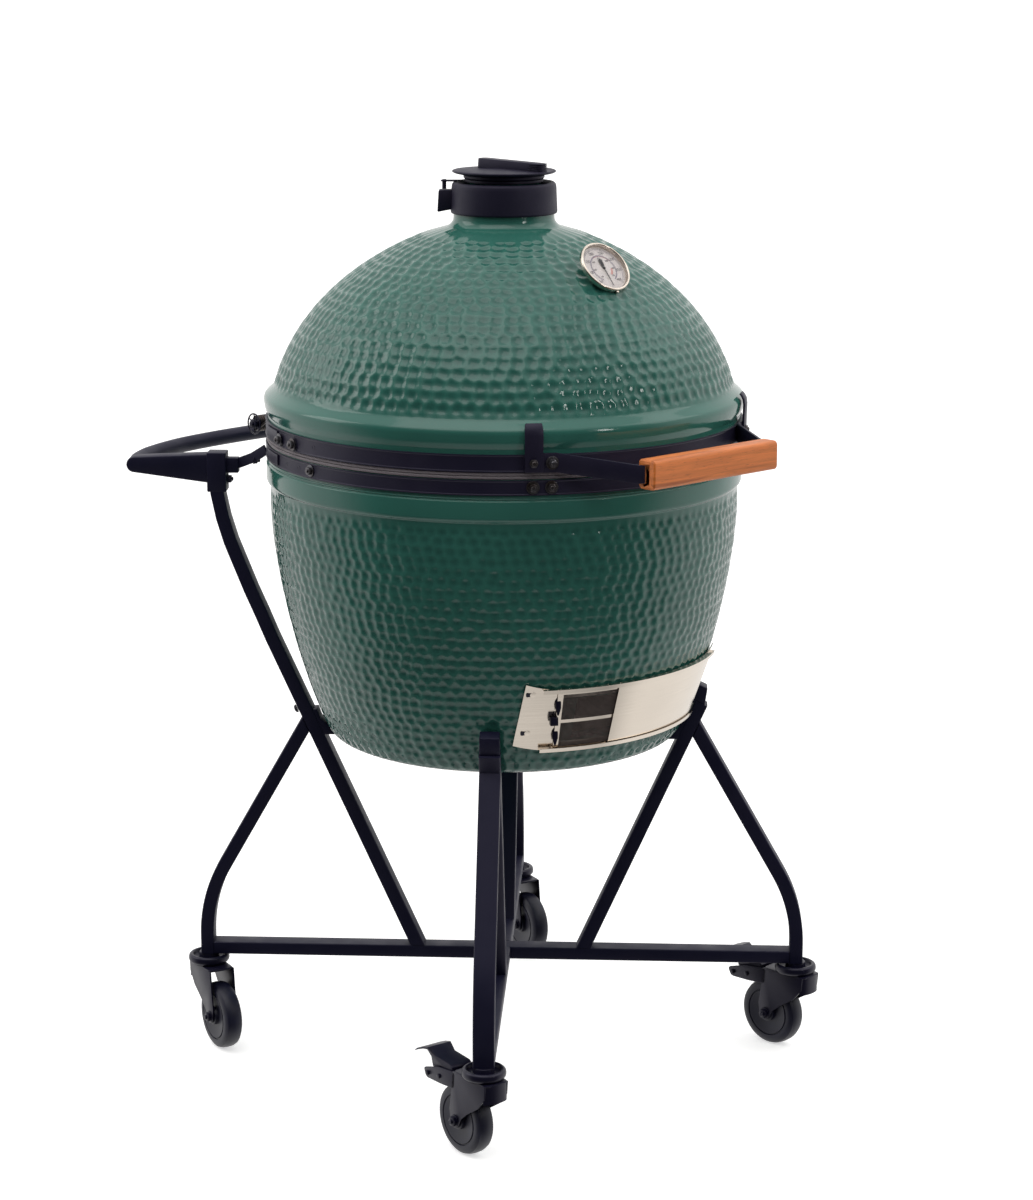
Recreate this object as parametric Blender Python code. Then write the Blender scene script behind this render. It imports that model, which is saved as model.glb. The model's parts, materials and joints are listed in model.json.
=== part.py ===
"""Ceramic kamado grill on a wheeled steel stand: one closed solid per named piece.

Metres, +Z up, floor at z = 0. The front (lid handle, draft door) faces -Y and the
hinge and push handle face +Y. The egg is laid out about its own vertical axis and the
stand about its own, a few millimetres apart because the egg sits loose on its pads; both
are then shifted so that the whole grill is centred on the origin.
"""
import math

import bmesh
import bpy
from mathutils import Matrix, Vector

# ---------------------------------------------------------------- overall layout
EGG_AXIS = Vector((0.0034, -0.0332, 0.0))     # axis of the egg in the finished grill
STAND_AXIS = Vector((0.0, -0.0298, 0.0))      # axis of the stand
GAP = 0.0003                  # clearance between touching pieces
SHARP_ANGLE = math.radians(32.0)
ROUND_STEPS = 48              # facets round the large ceramic pieces
PORT_HALF_STEPS = 3           # draft port half width, in facets of the base

# ---------------------------------------------------------------- ceramic egg
BASE_FLOOR_Z = 0.494
BASE_RIM_Z = 0.9300
BASE_OUTLINE = [              # radius, height of the outer wall, bottom to top
    (0.2427, 0.4945), (0.2605, 0.5090), (0.2770, 0.5520), (0.2985, 0.6140),
    (0.3168, 0.6789), (0.3289, 0.7487), (0.3370, 0.8600), (0.3427, 0.8740),
    (0.3427, 0.9020), (0.3400, 0.9040), (0.3400, 0.9300),
]
BASE_INNER = [                # radius, height of the bowl, matched row by row
    (0.2150, 0.5240), (0.2380, 0.5340), (0.2490, 0.5520), (0.2700, 0.6140),
    (0.2890, 0.6789), (0.3010, 0.7487), (0.3090, 0.8600), (0.3120, 0.8740),
    (0.3120, 0.9020), (0.3120, 0.9040), (0.3120, 0.9300),
]
PORT_ROWS = (2, 3)            # outline rows between which the draft port is cut

LID_RIM_Z = 0.9397
LID_OUTLINE = [               # radius, height, neck first, down to the rim
    (0.0715, 1.2900), (0.0720, 1.2400), (0.0830, 1.2330), (0.1180, 1.2230),
    (0.1640, 1.2025), (0.2080, 1.1755), (0.2470, 1.1435), (0.2800, 1.1080),
    (0.3120, 1.0575), (0.3340, 1.0060), (0.3448, 0.9925), (0.3425, 0.9720),
    (0.3400, 0.9660), (0.3400, 0.9397),
]
LID_INNER = [
    (0.0580, 1.2900), (0.0580, 1.2250), (0.0640, 1.2150), (0.1080, 1.2010),
    (0.1500, 1.1790), (0.1900, 1.1520), (0.2250, 1.1220), (0.2560, 1.0880),
    (0.2860, 1.0400), (0.3050, 1.0000), (0.3100, 0.9850), (0.3120, 0.9720),
    (0.3120, 0.9660), (0.3120, 0.9397),
]

# ---------------------------------------------------------------- felt and bands
FELT_HEIGHT = 0.0044
FELT_IN = 0.3130
FELT_OUT = 0.3418
BAND_IN = 0.3403
BAND_OUT = 0.3428
LOWER_BAND_Z = (0.9085, 0.9292)
UPPER_BAND_Z = (0.9402, 0.9640)

# ---------------------------------------------------------------- fire bowl stack
FIRE_BOX_STEPS = 36
GRATE_RADIUS = 0.1330
GRATE_Z = 0.6100
GRID_RADIUS = 0.3020
GRID_Z = 0.9180
GRID_BARS = 17

# ---------------------------------------------------------------- hinge
HINGE_Y = 0.4040
HINGE_Z = 0.9145
HINGE_HALF = 0.1470
PIN_RADIUS = 0.0045
KNUCKLE_RADIUS = 0.0100
LEAF_CLEAR = 0.0012           # keeps the straight facets of the leaves off the bands
SPRING_COILS = 4
SPRING_RADIUS = 0.0120
SPRING_WIRE = 0.0018

# ---------------------------------------------------------------- lid handle
GRIP_LENGTH = 0.2340
GRIP_Y = -0.4115
GRIP_Z = 0.9450
GRIP_DEPTH = 0.0310
GRIP_HEIGHT = 0.0400
STRAP_THICK = 0.0040

# ---------------------------------------------------------------- thermometer
DIAL_TILT = math.radians(40.0)
DIAL_CENTRE = Vector((0.0, -0.2092, 1.1940))
DIAL_RADIUS = 0.0395
NEEDLE_ANGLE = math.radians(-155.0)
STEM_RADIUS = 0.0032
STEM_HOLE = 0.0050

# ---------------------------------------------------------------- chimney cap
CAP_RING_Z = (1.2521, 1.2961)
CAP_RING_OUT = 0.0752
CAP_DISC_Z = 1.3060
CAP_GRIP_HALF = 0.0110
CAP_GRIP_TOP = 1.3278
CAP_GRIP_TURN = 12.0          # turn of the grip bar from the front, towards +X
CAP_PIN_ANGLE = 137.9         # direction of the swing pin from the cap's axis
CAP_PIN_REACH = 0.0848
VENT_THICK = 0.0040
VENT_HOLE = 0.0034

# ---------------------------------------------------------------- draft door
DRAFT_ARC = 38.0
DRAFT_FOOT = (0.2701, 0.5340)  # radius, height of the wall behind the draft plates
DRAFT_HEAD = (0.3030, 0.6300)
TRACK = [                     # frame section: offset from the wall, height, both skins
    ((0.0108, 0.5390), (0.0096, 0.5390)), ((0.0108, 0.5334), (0.0096, 0.5347)),
    ((0.0018, 0.5334), (0.0033, 0.5347)), ((0.0018, 0.5480), (0.0033, 0.5480)),
    ((0.0018, 0.6160), (0.0033, 0.6160)), ((0.0018, 0.6306), (0.0033, 0.6293)),
    ((0.0108, 0.6306), (0.0096, 0.6293)), ((0.0108, 0.6250), (0.0096, 0.6250)),
]
SCREEN_SKINS = (0.0058, 0.0043)
DOOR_SKINS = (0.0084, 0.0069)

# ---------------------------------------------------------------- stand
LEG_REACH = 0.4418            # caster axis from the stand axis
RAIL_Z = (0.1385, 0.1575)
TUBE_WIDE = 0.0300
TUBE_THICK = 0.0200
LEG_SLOPE = math.radians(29.5)
LEG_BEND = 0.2200
LEG_BEND_Z = 0.1697
LEG_TOP = (0.2884, 0.4978)
STRUT_FOOT = 0.1244
STRUT_RUN = (0.4487, 1.0000)  # reach and height direction of the struts
STRUT_TOP = (0.2950, 0.5380)
UPRIGHT_BENDS = [             # reach, height of the rear uprights above the egg's foot
    (0.3361, 0.6289), (0.3509, 0.6650), (0.3665, 0.7011), (0.3806, 0.7370),
    (0.3946, 0.7728), (0.4052, 0.8085), (0.4124, 0.8441), (0.4127, 0.8465),
]
PAD_WIDE = 0.0280
PAD_OUTLINE = [               # reach, height of the pad under the egg's lower edge
    (0.2440, 0.4835), (0.2440, 0.4895), (0.2483, 0.4931), (0.2661, 0.5076),
    (0.2712, 0.5220), (0.2850, 0.5200), (0.2700, 0.4835),
]
STOP_OUTLINE = [              # reach, height of the block on top of a front strut
    (0.2790, 0.5400), (0.2828, 0.5520), (0.2885, 0.5684), (0.3040, 0.5612),
    (0.3000, 0.5340),
]
LEG_STEP_ANGLES = {"front_left": 225.0, "front_right": 315.0,
                   "rear_left": 135.0, "rear_right": 45.0}
HANDLE_REACH = 0.5332
HANDLE_Z = 0.8857
HANDLE_TUBE = 0.0115
HANDLE_ARM = [                # reach, height of the arm's root, below and above the tip
    (0.3987, 0.8468), (0.4267, 0.8468), (0.4267, 0.8600),
    (0.4267, 0.9020), (0.4267, 0.9045), (0.3987, 0.9045),
]
HANDLE_BOW = [                # X, Y of the push tube from the arm to the middle
    (-0.3196, 0.4236), (-0.2676, 0.4466), (-0.2196, 0.4606), (-0.1496, 0.4716),
    (-0.0666, 0.4776),
]
HANDLE_MIDDLE_Y = 0.4786

# ---------------------------------------------------------------- casters
WHEEL_RADIUS = 0.0500
WHEEL_HALF = 0.0140
CASTER_TRAIL = 0.0410
CASTER_TRAIL_ANGLES = {"front_left": 84.8, "front_right": 93.9,
                       "rear_left": 257.9, "rear_right": 257.9}
FORK_HALF = 0.0175            # half the clear width between the fork legs
BRAKE_PIVOT = (0.0640, 0.0, 0.1130)

# ---------------------------------------------------------------- finishes
FINISHES = {                  # colour, roughness, metallic
    "green_glaze": ((0.045, 0.150, 0.110), 0.16, 0.0),
    "fire_clay": ((0.620, 0.520, 0.420), 0.85, 0.0),
    "black_powder": ((0.016, 0.015, 0.022), 0.42, 0.0),
    "band_paint": ((0.030, 0.026, 0.034), 0.40, 0.0),
    "felt": ((0.230, 0.180, 0.190), 0.95, 0.0),
    "cast_iron": ((0.030, 0.028, 0.028), 0.65, 0.6),
    "stainless": ((0.620, 0.560, 0.500), 0.28, 1.0),
    "wood": ((0.520, 0.220, 0.085), 0.45, 0.0),
    "cap_paint": ((0.035, 0.028, 0.036), 0.48, 0.0),
    "clear_glass": ((0.900, 0.920, 0.920), 0.03, 0.0),
    "needle_paint": ((0.020, 0.020, 0.022), 0.40, 0.0),
    "tyre": ((0.022, 0.022, 0.026), 0.55, 0.0),
    "caster_paint": ((0.018, 0.017, 0.022), 0.35, 0.0),
    "spring_steel": ((0.060, 0.058, 0.062), 0.35, 0.9),
}


def clear_scene():
    """Remove every object of the opening scene."""
    for old in list(bpy.data.objects):
        bpy.data.objects.remove(old, do_unlink=True)


def finish(name):
    """The Principled material of one finish, made on first use."""
    found = bpy.data.materials.get(name)
    if found:
        return found
    colour, roughness, metallic = FINISHES[name]
    made = bpy.data.materials.new(name)
    made.use_nodes = True
    shader = made.node_tree.nodes["Principled BSDF"]
    shader.inputs["Base Color"].default_value = (*colour, 1.0)
    shader.inputs["Roughness"].default_value = roughness
    shader.inputs["Metallic"].default_value = metallic
    return made


def smooth_mesh(name, bm, material):
    """Mesh of one closed body, shaded smooth except across its sharp edges."""
    bmesh.ops.recalc_face_normals(bm, faces=bm.faces)
    mesh = bpy.data.meshes.new(name)
    bm.to_mesh(mesh)
    bm.free()
    mesh.materials.append(material)
    mesh.shade_smooth()
    mesh.set_sharp_from_angle(angle=SHARP_ANGLE)
    return mesh


def add_node(name, bm, finish_name, origin=(0.0, 0.0, 0.0), axis=EGG_AXIS):
    """Link one closed mesh as a node, its origin at a point laid out about an axis."""
    bmesh.ops.translate(bm, verts=bm.verts, vec=-Vector(origin))
    node = bpy.data.objects.new(name, smooth_mesh(name, bm, finish(finish_name)))
    node.location = Vector(origin) + axis
    bpy.context.scene.collection.objects.link(node)
    return node


def combine(node, bm, operation, axis=EGG_AXIS):
    """Join a helper solid to a node, or cut it out, with a live Boolean."""
    mesh = smooth_mesh(node.name + "_tool", bm, node.data.materials[0])
    tool = bpy.data.objects.new(node.name + "_tool", mesh)
    tool.location = axis
    tool.hide_render = True
    tool.display_type = "WIRE"
    bpy.context.scene.collection.objects.link(tool)
    boolean = node.modifiers.new(operation.lower(), "BOOLEAN")
    boolean.operation = operation
    boolean.solver = "EXACT"
    boolean.object = tool


# ---------------------------------------------------------------- mesh builders
def sheet_body(front, back, closed, skip=None):
    """Closed body between two matched point grids, with skipped cells left open.

    front[i][j] and back[i][j] are rows of points; when closed is true the columns
    wrap round. Every kept cell is skinned on both grids, and every edge of a kept
    cell without a kept neighbour gets a wall between the grids.
    """
    bm = bmesh.new()
    rows = len(front)
    cols = len(front[0])
    cell_cols = cols if closed else cols - 1
    made = {}

    def vert(side, i, j):
        key = (side, i, j % cols)
        if key not in made:
            made[key] = bm.verts.new((front, back)[side][i][j % cols])
        return made[key]

    def kept(i, j):
        if not 0 <= i < rows - 1:
            return False
        if closed:
            j = j % cols
        elif not 0 <= j < cell_cols:
            return False
        return skip is None or not skip(i, j)

    def wall(a, b):
        bm.faces.new((vert(0, *a), vert(0, *b), vert(1, *b), vert(1, *a)))

    for i in range(rows - 1):
        for j in range(cell_cols):
            if not kept(i, j):
                continue
            corners = ((i, j), (i, j + 1), (i + 1, j + 1), (i + 1, j))
            bm.faces.new([vert(0, *corner) for corner in corners])
            bm.faces.new([vert(1, *corner) for corner in reversed(corners)])
            if not kept(i - 1, j):
                wall((i, j + 1), (i, j))
            if not kept(i + 1, j):
                wall((i + 1, j), (i + 1, j + 1))
            if not kept(i, j - 1):
                wall((i, j), (i + 1, j))
            if not kept(i, j + 1):
                wall((i + 1, j + 1), (i, j + 1))
    return bm


def ring_grid(outline, steps, start=0.0, arc=360.0):
    """Points of an outline turned about Z, from the start angle over an arc."""
    count = steps if arc == 360.0 else steps + 1
    angles = [math.radians(start + arc * j / steps) for j in range(count)]
    return [[(r * math.cos(a), r * math.sin(a), z) for a in angles] for r, z in outline]


def ring_body(outer, inner, steps, start=0.0, arc=360.0, skip=None):
    """Body of revolution between an outer and an inner outline."""
    outer_grid = ring_grid(outer, steps, start, arc)
    inner_grid = ring_grid(inner, steps, start, arc)
    return sheet_body(outer_grid, inner_grid, arc == 360.0, skip)


def lathe(outline, steps):
    """Solid of revolution about Z; the outline runs from axis to axis."""
    bm = bmesh.new()
    rings = []
    for r, z in outline:
        if r == 0.0:
            rings.append([bm.verts.new((0.0, 0.0, z))])
            continue
        turns = [2.0 * math.pi * j / steps for j in range(steps)]
        rings.append([bm.verts.new((r * math.cos(a), r * math.sin(a), z)) for a in turns])
    for low, high in zip(rings, rings[1:]):
        for j in range(steps):
            k = (j + 1) % steps
            if len(low) == 1:
                bm.faces.new((low[0], high[j], high[k]))
            elif len(high) == 1:
                bm.faces.new((low[j], low[k], high[0]))
            else:
                bm.faces.new((low[j], low[k], high[k], high[j]))
    return bm


def turned_ring(outline, steps):
    """Ring of revolution about Z from a closed outline away from the axis."""
    closed = outline + outline[:1]
    bm = bmesh.new()
    count = len(outline)
    rings = []
    for r, z in outline:
        turns = [2.0 * math.pi * j / steps for j in range(steps)]
        rings.append([bm.verts.new((r * math.cos(a), r * math.sin(a), z)) for a in turns])
    for i in range(len(closed) - 1):
        low = rings[i]
        high = rings[(i + 1) % count]
        for j in range(steps):
            k = (j + 1) % steps
            bm.faces.new((low[j], low[k], high[k], high[j]))
    return bm


def sweep(path, section, up=None):
    """Section swept along a path, square at both ends; a given up keeps it level."""
    bm = bmesh.new()
    loops = []
    side = None
    for i, point in enumerate(path):
        here = Vector(point)
        before = Vector(path[max(i - 1, 0)])
        after = Vector(path[min(i + 1, len(path) - 1)])
        along = (after - before).normalized()
        if up is not None:
            side = Vector(up).cross(along).normalized()
        elif side is None:
            seed = Vector((0.0, 0.0, 1.0)) if abs(along.z) < 0.9 else Vector((1.0, 0.0, 0.0))
            side = seed.cross(along).normalized()
        else:
            side = (side - along * side.dot(along)).normalized()
        top = along.cross(side)
        stretch = 1.0
        if 0 < i < len(path) - 1:
            leg = (here - before).normalized()
            stretch = 1.0 / max(leg.dot(along), 0.5)
        loops.append([bm.verts.new(here + side * (a * stretch if up is not None else a) + top * b)
                      for a, b in section])
    count = len(section)
    for low, high in zip(loops, loops[1:]):
        for j in range(count):
            k = (j + 1) % count
            bm.faces.new((low[j], low[k], high[k], high[j]))
    bm.faces.new(loops[0])
    bm.faces.new(list(reversed(loops[-1])))
    return bm


def round_section(radius, steps=16):
    """Circle section."""
    turns = [2.0 * math.pi * j / steps for j in range(steps)]
    return [(radius * math.cos(a), radius * math.sin(a)) for a in turns]


def box(low, high):
    """Axis-aligned block between two corners."""
    bm = bmesh.new()
    bmesh.ops.create_cube(bm, size=1.0)
    size = Vector(high) - Vector(low)
    middle = (Vector(high) + Vector(low)) / 2.0
    bmesh.ops.scale(bm, vec=size, verts=bm.verts)
    bmesh.ops.translate(bm, vec=middle, verts=bm.verts)
    return bm


def extrude_outline(points, thickness):
    """Flat outline given in X and Z, thickened evenly to both sides along Y."""
    bm = bmesh.new()
    near = [bm.verts.new((x, -thickness / 2.0, z)) for x, z in points]
    far = [bm.verts.new((x, thickness / 2.0, z)) for x, z in points]
    bm.faces.new(near)
    bm.faces.new(list(reversed(far)))
    count = len(points)
    for j in range(count):
        k = (j + 1) % count
        bm.faces.new((near[j], far[j], far[k], near[k]))
    return bm


def place(bm, matrix):
    """Move a whole mesh by a matrix and hand it back."""
    bmesh.ops.transform(bm, matrix=matrix, verts=bm.verts)
    return bm


def turn_z(degrees, shift=(0.0, 0.0, 0.0)):
    """Turn about Z, then shift."""
    return Matrix.Translation(shift) @ Matrix.Rotation(math.radians(degrees), 4, "Z")


def leg_point(angle, reach, z):
    """Point at a reach from the stand axis along a leg direction."""
    a = math.radians(angle)
    return Vector((reach * math.cos(a), reach * math.sin(a), z))


# ---------------------------------------------------------------- ceramic pieces
def build_base_shell():
    """Thick-walled base with a floor and the draft port at its front."""
    outer = [(0.0, BASE_FLOOR_Z)] + BASE_OUTLINE
    inner = [(0.0, BASE_INNER[0][1])] + BASE_INNER
    front_step = ROUND_STEPS * 3 // 4
    first_row = PORT_ROWS[0] + 1
    last_row = PORT_ROWS[1] + 1
    low_col = front_step - PORT_HALF_STEPS
    high_col = front_step + PORT_HALF_STEPS

    def port(i, j):
        return first_row <= i < last_row and low_col <= j < high_col

    bm = ring_body(outer, inner, ROUND_STEPS, skip=port)
    bmesh.ops.remove_doubles(bm, verts=bm.verts, dist=1e-6)
    bmesh.ops.dissolve_degenerate(bm, edges=bm.edges, dist=1e-7)
    add_node("base_shell", bm, "green_glaze")


def build_lid_shell():
    """Domed lid with its chimney neck and the flange above the band."""
    bm = ring_body(LID_OUTLINE, LID_INNER, ROUND_STEPS)
    lid = add_node("lid_shell", bm, "green_glaze", hinge_origin())
    hole = [(0.0, -0.0650), (STEM_HOLE, -0.0650), (STEM_HOLE, 0.0200), (0.0, 0.0200)]
    combine(lid, place(lathe(hole, 12), dial_frame()), "DIFFERENCE")


def build_felt_and_bands():
    """Felt gaskets on both rims and the two clamp bands."""
    lower_felt = [(FELT_OUT, BASE_RIM_Z + GAP), (FELT_OUT, BASE_RIM_Z + FELT_HEIGHT)]
    lower_felt += [(FELT_IN, BASE_RIM_Z + FELT_HEIGHT), (FELT_IN, BASE_RIM_Z + GAP)]
    add_node("lower_gasket", turned_ring(lower_felt, ROUND_STEPS), "felt")
    upper_felt = [(FELT_OUT, LID_RIM_Z - FELT_HEIGHT), (FELT_OUT, LID_RIM_Z - GAP)]
    upper_felt += [(FELT_IN, LID_RIM_Z - GAP), (FELT_IN, LID_RIM_Z - FELT_HEIGHT)]
    add_node("upper_gasket", turned_ring(upper_felt, ROUND_STEPS), "felt", hinge_origin())
    for name, heights, origin in (("lower_band", LOWER_BAND_Z, (0.0, 0.0, 0.0)),
                                  ("upper_band", UPPER_BAND_Z, hinge_origin())):
        low, high = heights
        outline = [(BAND_OUT, low), (BAND_OUT, high), (BAND_IN, high), (BAND_IN, low)]
        add_node(name, turned_ring(outline, ROUND_STEPS), "band_paint", origin)


def build_fire_parts():
    """Fire box, ring, grate and the cooking grid, stacked inside the base."""
    outer = [(0.2100, 0.5245), (0.2250, 0.5330), (0.2400, 0.5650), (0.2550, 0.6140),
             (0.2750, 0.6789), (0.2870, 0.7487), (0.2900, 0.7700)]
    inner = [(0.1200, 0.5245), (0.1250, 0.5700), (0.1340, 0.6090), (0.1700, 0.6300),
             (0.2500, 0.6789), (0.2660, 0.7487), (0.2690, 0.7700)]
    front = FIRE_BOX_STEPS * 3 // 4

    def ash_door(i, j):
        return i in (1, 2) and front - 2 <= j < front + 2

    add_node("fire_box", ring_body(outer, inner, FIRE_BOX_STEPS, skip=ash_door), "fire_clay")
    ring = [(0.2900, 0.7703), (0.3050, 0.8300), (0.3080, 0.9150),
            (0.2830, 0.9150), (0.2800, 0.8300), (0.2680, 0.7703)]
    add_node("fire_ring", turned_ring(ring, FIRE_BOX_STEPS), "fire_clay")
    build_slotted_plate("fire_grate", GRATE_RADIUS, GRATE_Z, 0.0100, (4, 8), 24, 2)


def build_slotted_plate(name, radius, z, thick, slot_rows, steps, period):
    """Round cast plate with radial slots between its rim and its hub."""
    rings = 9
    radii = [0.0] + [radius * k / rings for k in range(1, rings + 1)]
    top = [(r, z + thick) for r in radii]
    bottom = [(r, z) for r in radii]

    def slot(i, j):
        return slot_rows[0] <= i < slot_rows[1] and j % period == 0 and i != 6

    bm = ring_body(top, bottom, steps, skip=slot)
    bmesh.ops.remove_doubles(bm, verts=bm.verts, dist=1e-6)
    bmesh.ops.dissolve_degenerate(bm, edges=bm.edges, dist=1e-7)
    add_node(name, bm, "cast_iron")


def build_cooking_grid():
    """Round cooking grid: a square rim, parallel bars and one cross bar."""
    rim = 0.0060
    high = GRID_Z + 0.0060
    outline = [(GRID_RADIUS, GRID_Z), (GRID_RADIUS, high),
               (GRID_RADIUS - rim, high), (GRID_RADIUS - rim, GRID_Z)]
    grid = add_node("cooking_grid", turned_ring(outline, 48), "stainless",
                    (0.0, 0.0, GRID_Z))
    pitch = 2.0 * GRID_RADIUS / (GRID_BARS + 1)
    bars = bmesh.new()
    for k in range(1, GRID_BARS + 1):
        x = -GRID_RADIUS + pitch * k
        reach = math.sqrt((GRID_RADIUS - rim / 2.0) ** 2 - x * x)
        spread = Matrix.Translation((x, 0.0, GRID_Z + 0.0032))
        size = Matrix.Diagonal((0.0046, 2.0 * reach, 0.0046, 1.0))
        bmesh.ops.create_cube(bars, size=1.0, matrix=spread @ size)
    combine(grid, bars, "UNION")
    reach = GRID_RADIUS - rim / 2.0
    cross = box((-reach, -0.0030, GRID_Z + 0.0004), (reach, 0.0030, GRID_Z + 0.0050))
    combine(grid, cross, "UNION")


# ---------------------------------------------------------------- hinge
def hinge_origin():
    """Point on the lid hinge axis."""
    return Vector((0.0, HINGE_Y, HINGE_Z))


def knuckle_arc(radius, start, end, steps=10):
    """Points in Y and Z round the hinge pin between two angles in degrees."""
    turns = [math.radians(start + (end - start) * k / steps) for k in range(steps + 1)]
    return [(HINGE_Y + radius * math.cos(a), HINGE_Z + radius * math.sin(a)) for a in turns]


def hinge_leaf(name, band_z, shelf_z, arc, knuckles, origin):
    """Sheet leaf from a band to knuckles rolled round the pin.

    The first rows follow the round band; the others run straight across, and the
    rolled part is kept only over the knuckle columns.
    """
    thick = 0.0030
    columns = [-0.1120, -0.1010, -0.0990, -0.0880, -0.0500, 0.0,
               0.0500, 0.0880, 0.0990, 0.1010, 0.1120]
    over = shelf_z > HINGE_Z

    def row_set(x, far, lift, radius):
        band_y = math.sqrt((BAND_OUT + LEAF_CLEAR + far) ** 2 - x * x)
        rows = [(band_y, band_z), (band_y, lift), (HINGE_Y - 0.012, lift)]
        return rows + knuckle_arc(radius, *arc)

    def grid(far, lift, radius):
        by_column = [row_set(x, far, lift, radius) for x in columns]
        count = len(by_column[0])
        return [[(x, *by_column[j][i]) for j, x in enumerate(columns)] for i in range(count)]

    def open_cell(i, j):
        return i >= 2 and j not in knuckles

    small = KNUCKLE_RADIUS - thick
    if over:
        front = grid(thick, shelf_z, KNUCKLE_RADIUS)
        back = grid(0.0, shelf_z - thick, small)
    else:
        front = grid(thick, shelf_z + thick, small)
        back = grid(0.0, shelf_z, KNUCKLE_RADIUS)
    add_node(name, sheet_body(front, back, False, open_cell), "band_paint", origin)


def build_hinge():
    """Two leaves, the pin through their knuckles and a torsion spring at each end."""
    lower_z = HINGE_Z - KNUCKLE_RADIUS
    upper_z = HINGE_Z + KNUCKLE_RADIUS
    hinge_leaf("hinge_lower_bracket", 0.9200, lower_z, (-90.0, 200.0), (0, 9),
               (0.0, 0.0, 0.0))
    hinge_leaf("hinge_upper_bracket", UPPER_BAND_Z[1], upper_z, (90.0, -200.0), (2, 7),
               hinge_origin())
    head = KNUCKLE_RADIUS * 0.75
    pin = [(0.0, -HINGE_HALF), (head, -HINGE_HALF), (head, -HINGE_HALF + 0.004),
           (PIN_RADIUS, -HINGE_HALF + 0.004), (PIN_RADIUS, HINGE_HALF - 0.004),
           (head, HINGE_HALF - 0.004), (head, HINGE_HALF), (0.0, HINGE_HALF)]
    pin_mesh = place(lathe(pin, 12), Matrix.Rotation(math.radians(90.0), 4, "Y"))
    add_node("hinge_pin", place(pin_mesh, Matrix.Translation(hinge_origin())), "caster_paint")
    for name, side in (("hinge_spring_left", -1.0), ("hinge_spring_right", 1.0)):
        steps = SPRING_COILS * 9
        path = []
        for k in range(steps + 1):
            a = 2.0 * math.pi * k / 9.0
            x = side * (0.1155 + 0.024 * k / steps)
            path.append((x, HINGE_Y + SPRING_RADIUS * math.cos(a),
                         HINGE_Z + SPRING_RADIUS * math.sin(a)))
        coil = sweep(path, round_section(SPRING_WIRE, 5))
        add_node(name, coil, "spring_steel", (side * 0.1275, HINGE_Y, HINGE_Z))


# ---------------------------------------------------------------- lid handle
def build_lid_handle():
    """Bent flat strap with its two hooked tabs, and the wooden grip round it."""
    end_x = GRIP_LENGTH / 2.0 + 0.0050
    band = BAND_OUT + GAP + STRAP_THICK / 2.0
    on_band = [math.radians(a) for a in (-128.0, -125.0, -122.0, -120.0)]
    path = [(band * math.cos(a), band * math.sin(a)) for a in on_band]
    path += [(-end_x - 0.0050, GRIP_Y + 0.0120), (-end_x, GRIP_Y)]
    path += [(-x, y) for x, y in reversed(path)]
    low_z = [0.9402, 0.9402, 0.9380, 0.9360, 0.9330, 0.9330]
    high_z = [0.9660, 0.9660, 0.9680, 0.9680, 0.9570, 0.9570]
    low_z += list(reversed(low_z))
    high_z += list(reversed(high_z))
    bm = strap_along(path, low_z, high_z, STRAP_THICK)
    add_node("lid_handle_strap", bm, "band_paint", hinge_origin())
    tab_outer = BAND_OUT + STRAP_THICK + 3.0 * GAP
    for name, angle in (("lid_handle_tab_left", -125.5), ("lid_handle_tab_right", -54.5)):
        outer = [(tab_outer + 0.0032, 0.9405), (tab_outer + 0.0032, 0.9940),
                 (tab_outer - 0.0070, 1.0095)]
        inner = [(tab_outer, 0.9405), (tab_outer, 0.9930), (tab_outer - 0.0095, 1.0075)]
        add_node(name, ring_body(outer, inner, 4, angle - 2.1, 4.2), "band_paint",
                 hinge_origin())
    build_grip()


def strap_along(path, low_z, high_z, thick):
    """Vertical strap following a plan path, with its own height at every point."""
    near = []
    far = []
    for i, (x, y) in enumerate(path):
        before = Vector(path[max(i - 1, 0)])
        after = Vector(path[min(i + 1, len(path) - 1)])
        along = (after - before).normalized()
        side = Vector((along.y, -along.x)) * thick / 2.0
        near.append((x + side.x, y + side.y))
        far.append((x - side.x, y - side.y))
    front = [[(x, y, low_z[i]) for i, (x, y) in enumerate(near)],
             [(x, y, high_z[i]) for i, (x, y) in enumerate(near)]]
    back = [[(x, y, low_z[i]) for i, (x, y) in enumerate(far)],
            [(x, y, high_z[i]) for i, (x, y) in enumerate(far)]]
    return sheet_body(front, back, False)


def build_grip():
    """Wooden grip with a square hole right through it for the strap."""
    half_depth = GRIP_DEPTH / 2.0
    half_height = GRIP_HEIGHT / 2.0
    chamfer = 0.0060
    hole_depth = STRAP_THICK / 2.0 + 0.0030
    hole_height = 0.0145
    outer = [(-half_depth + chamfer, -half_height), (half_depth - chamfer, -half_height),
             (half_depth, -half_height + chamfer), (half_depth, half_height - chamfer),
             (half_depth - chamfer, half_height), (-half_depth + chamfer, half_height),
             (-half_depth, half_height - chamfer), (-half_depth, -half_height + chamfer)]
    inner = [(-hole_depth * 0.8, -hole_height), (hole_depth * 0.8, -hole_height),
             (hole_depth, -hole_height * 0.8), (hole_depth, hole_height * 0.8),
             (hole_depth * 0.8, hole_height), (-hole_depth * 0.8, hole_height),
             (-hole_depth, hole_height * 0.8), (-hole_depth, -hole_height * 0.8)]
    ends = (-GRIP_LENGTH / 2.0, GRIP_LENGTH / 2.0)

    def grid(section):
        return [[(x, GRIP_Y + y, GRIP_Z + z) for y, z in section] for x in ends]

    add_node("lid_handle_grip", sheet_body(grid(outer), grid(inner), True), "wood",
             hinge_origin())


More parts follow.
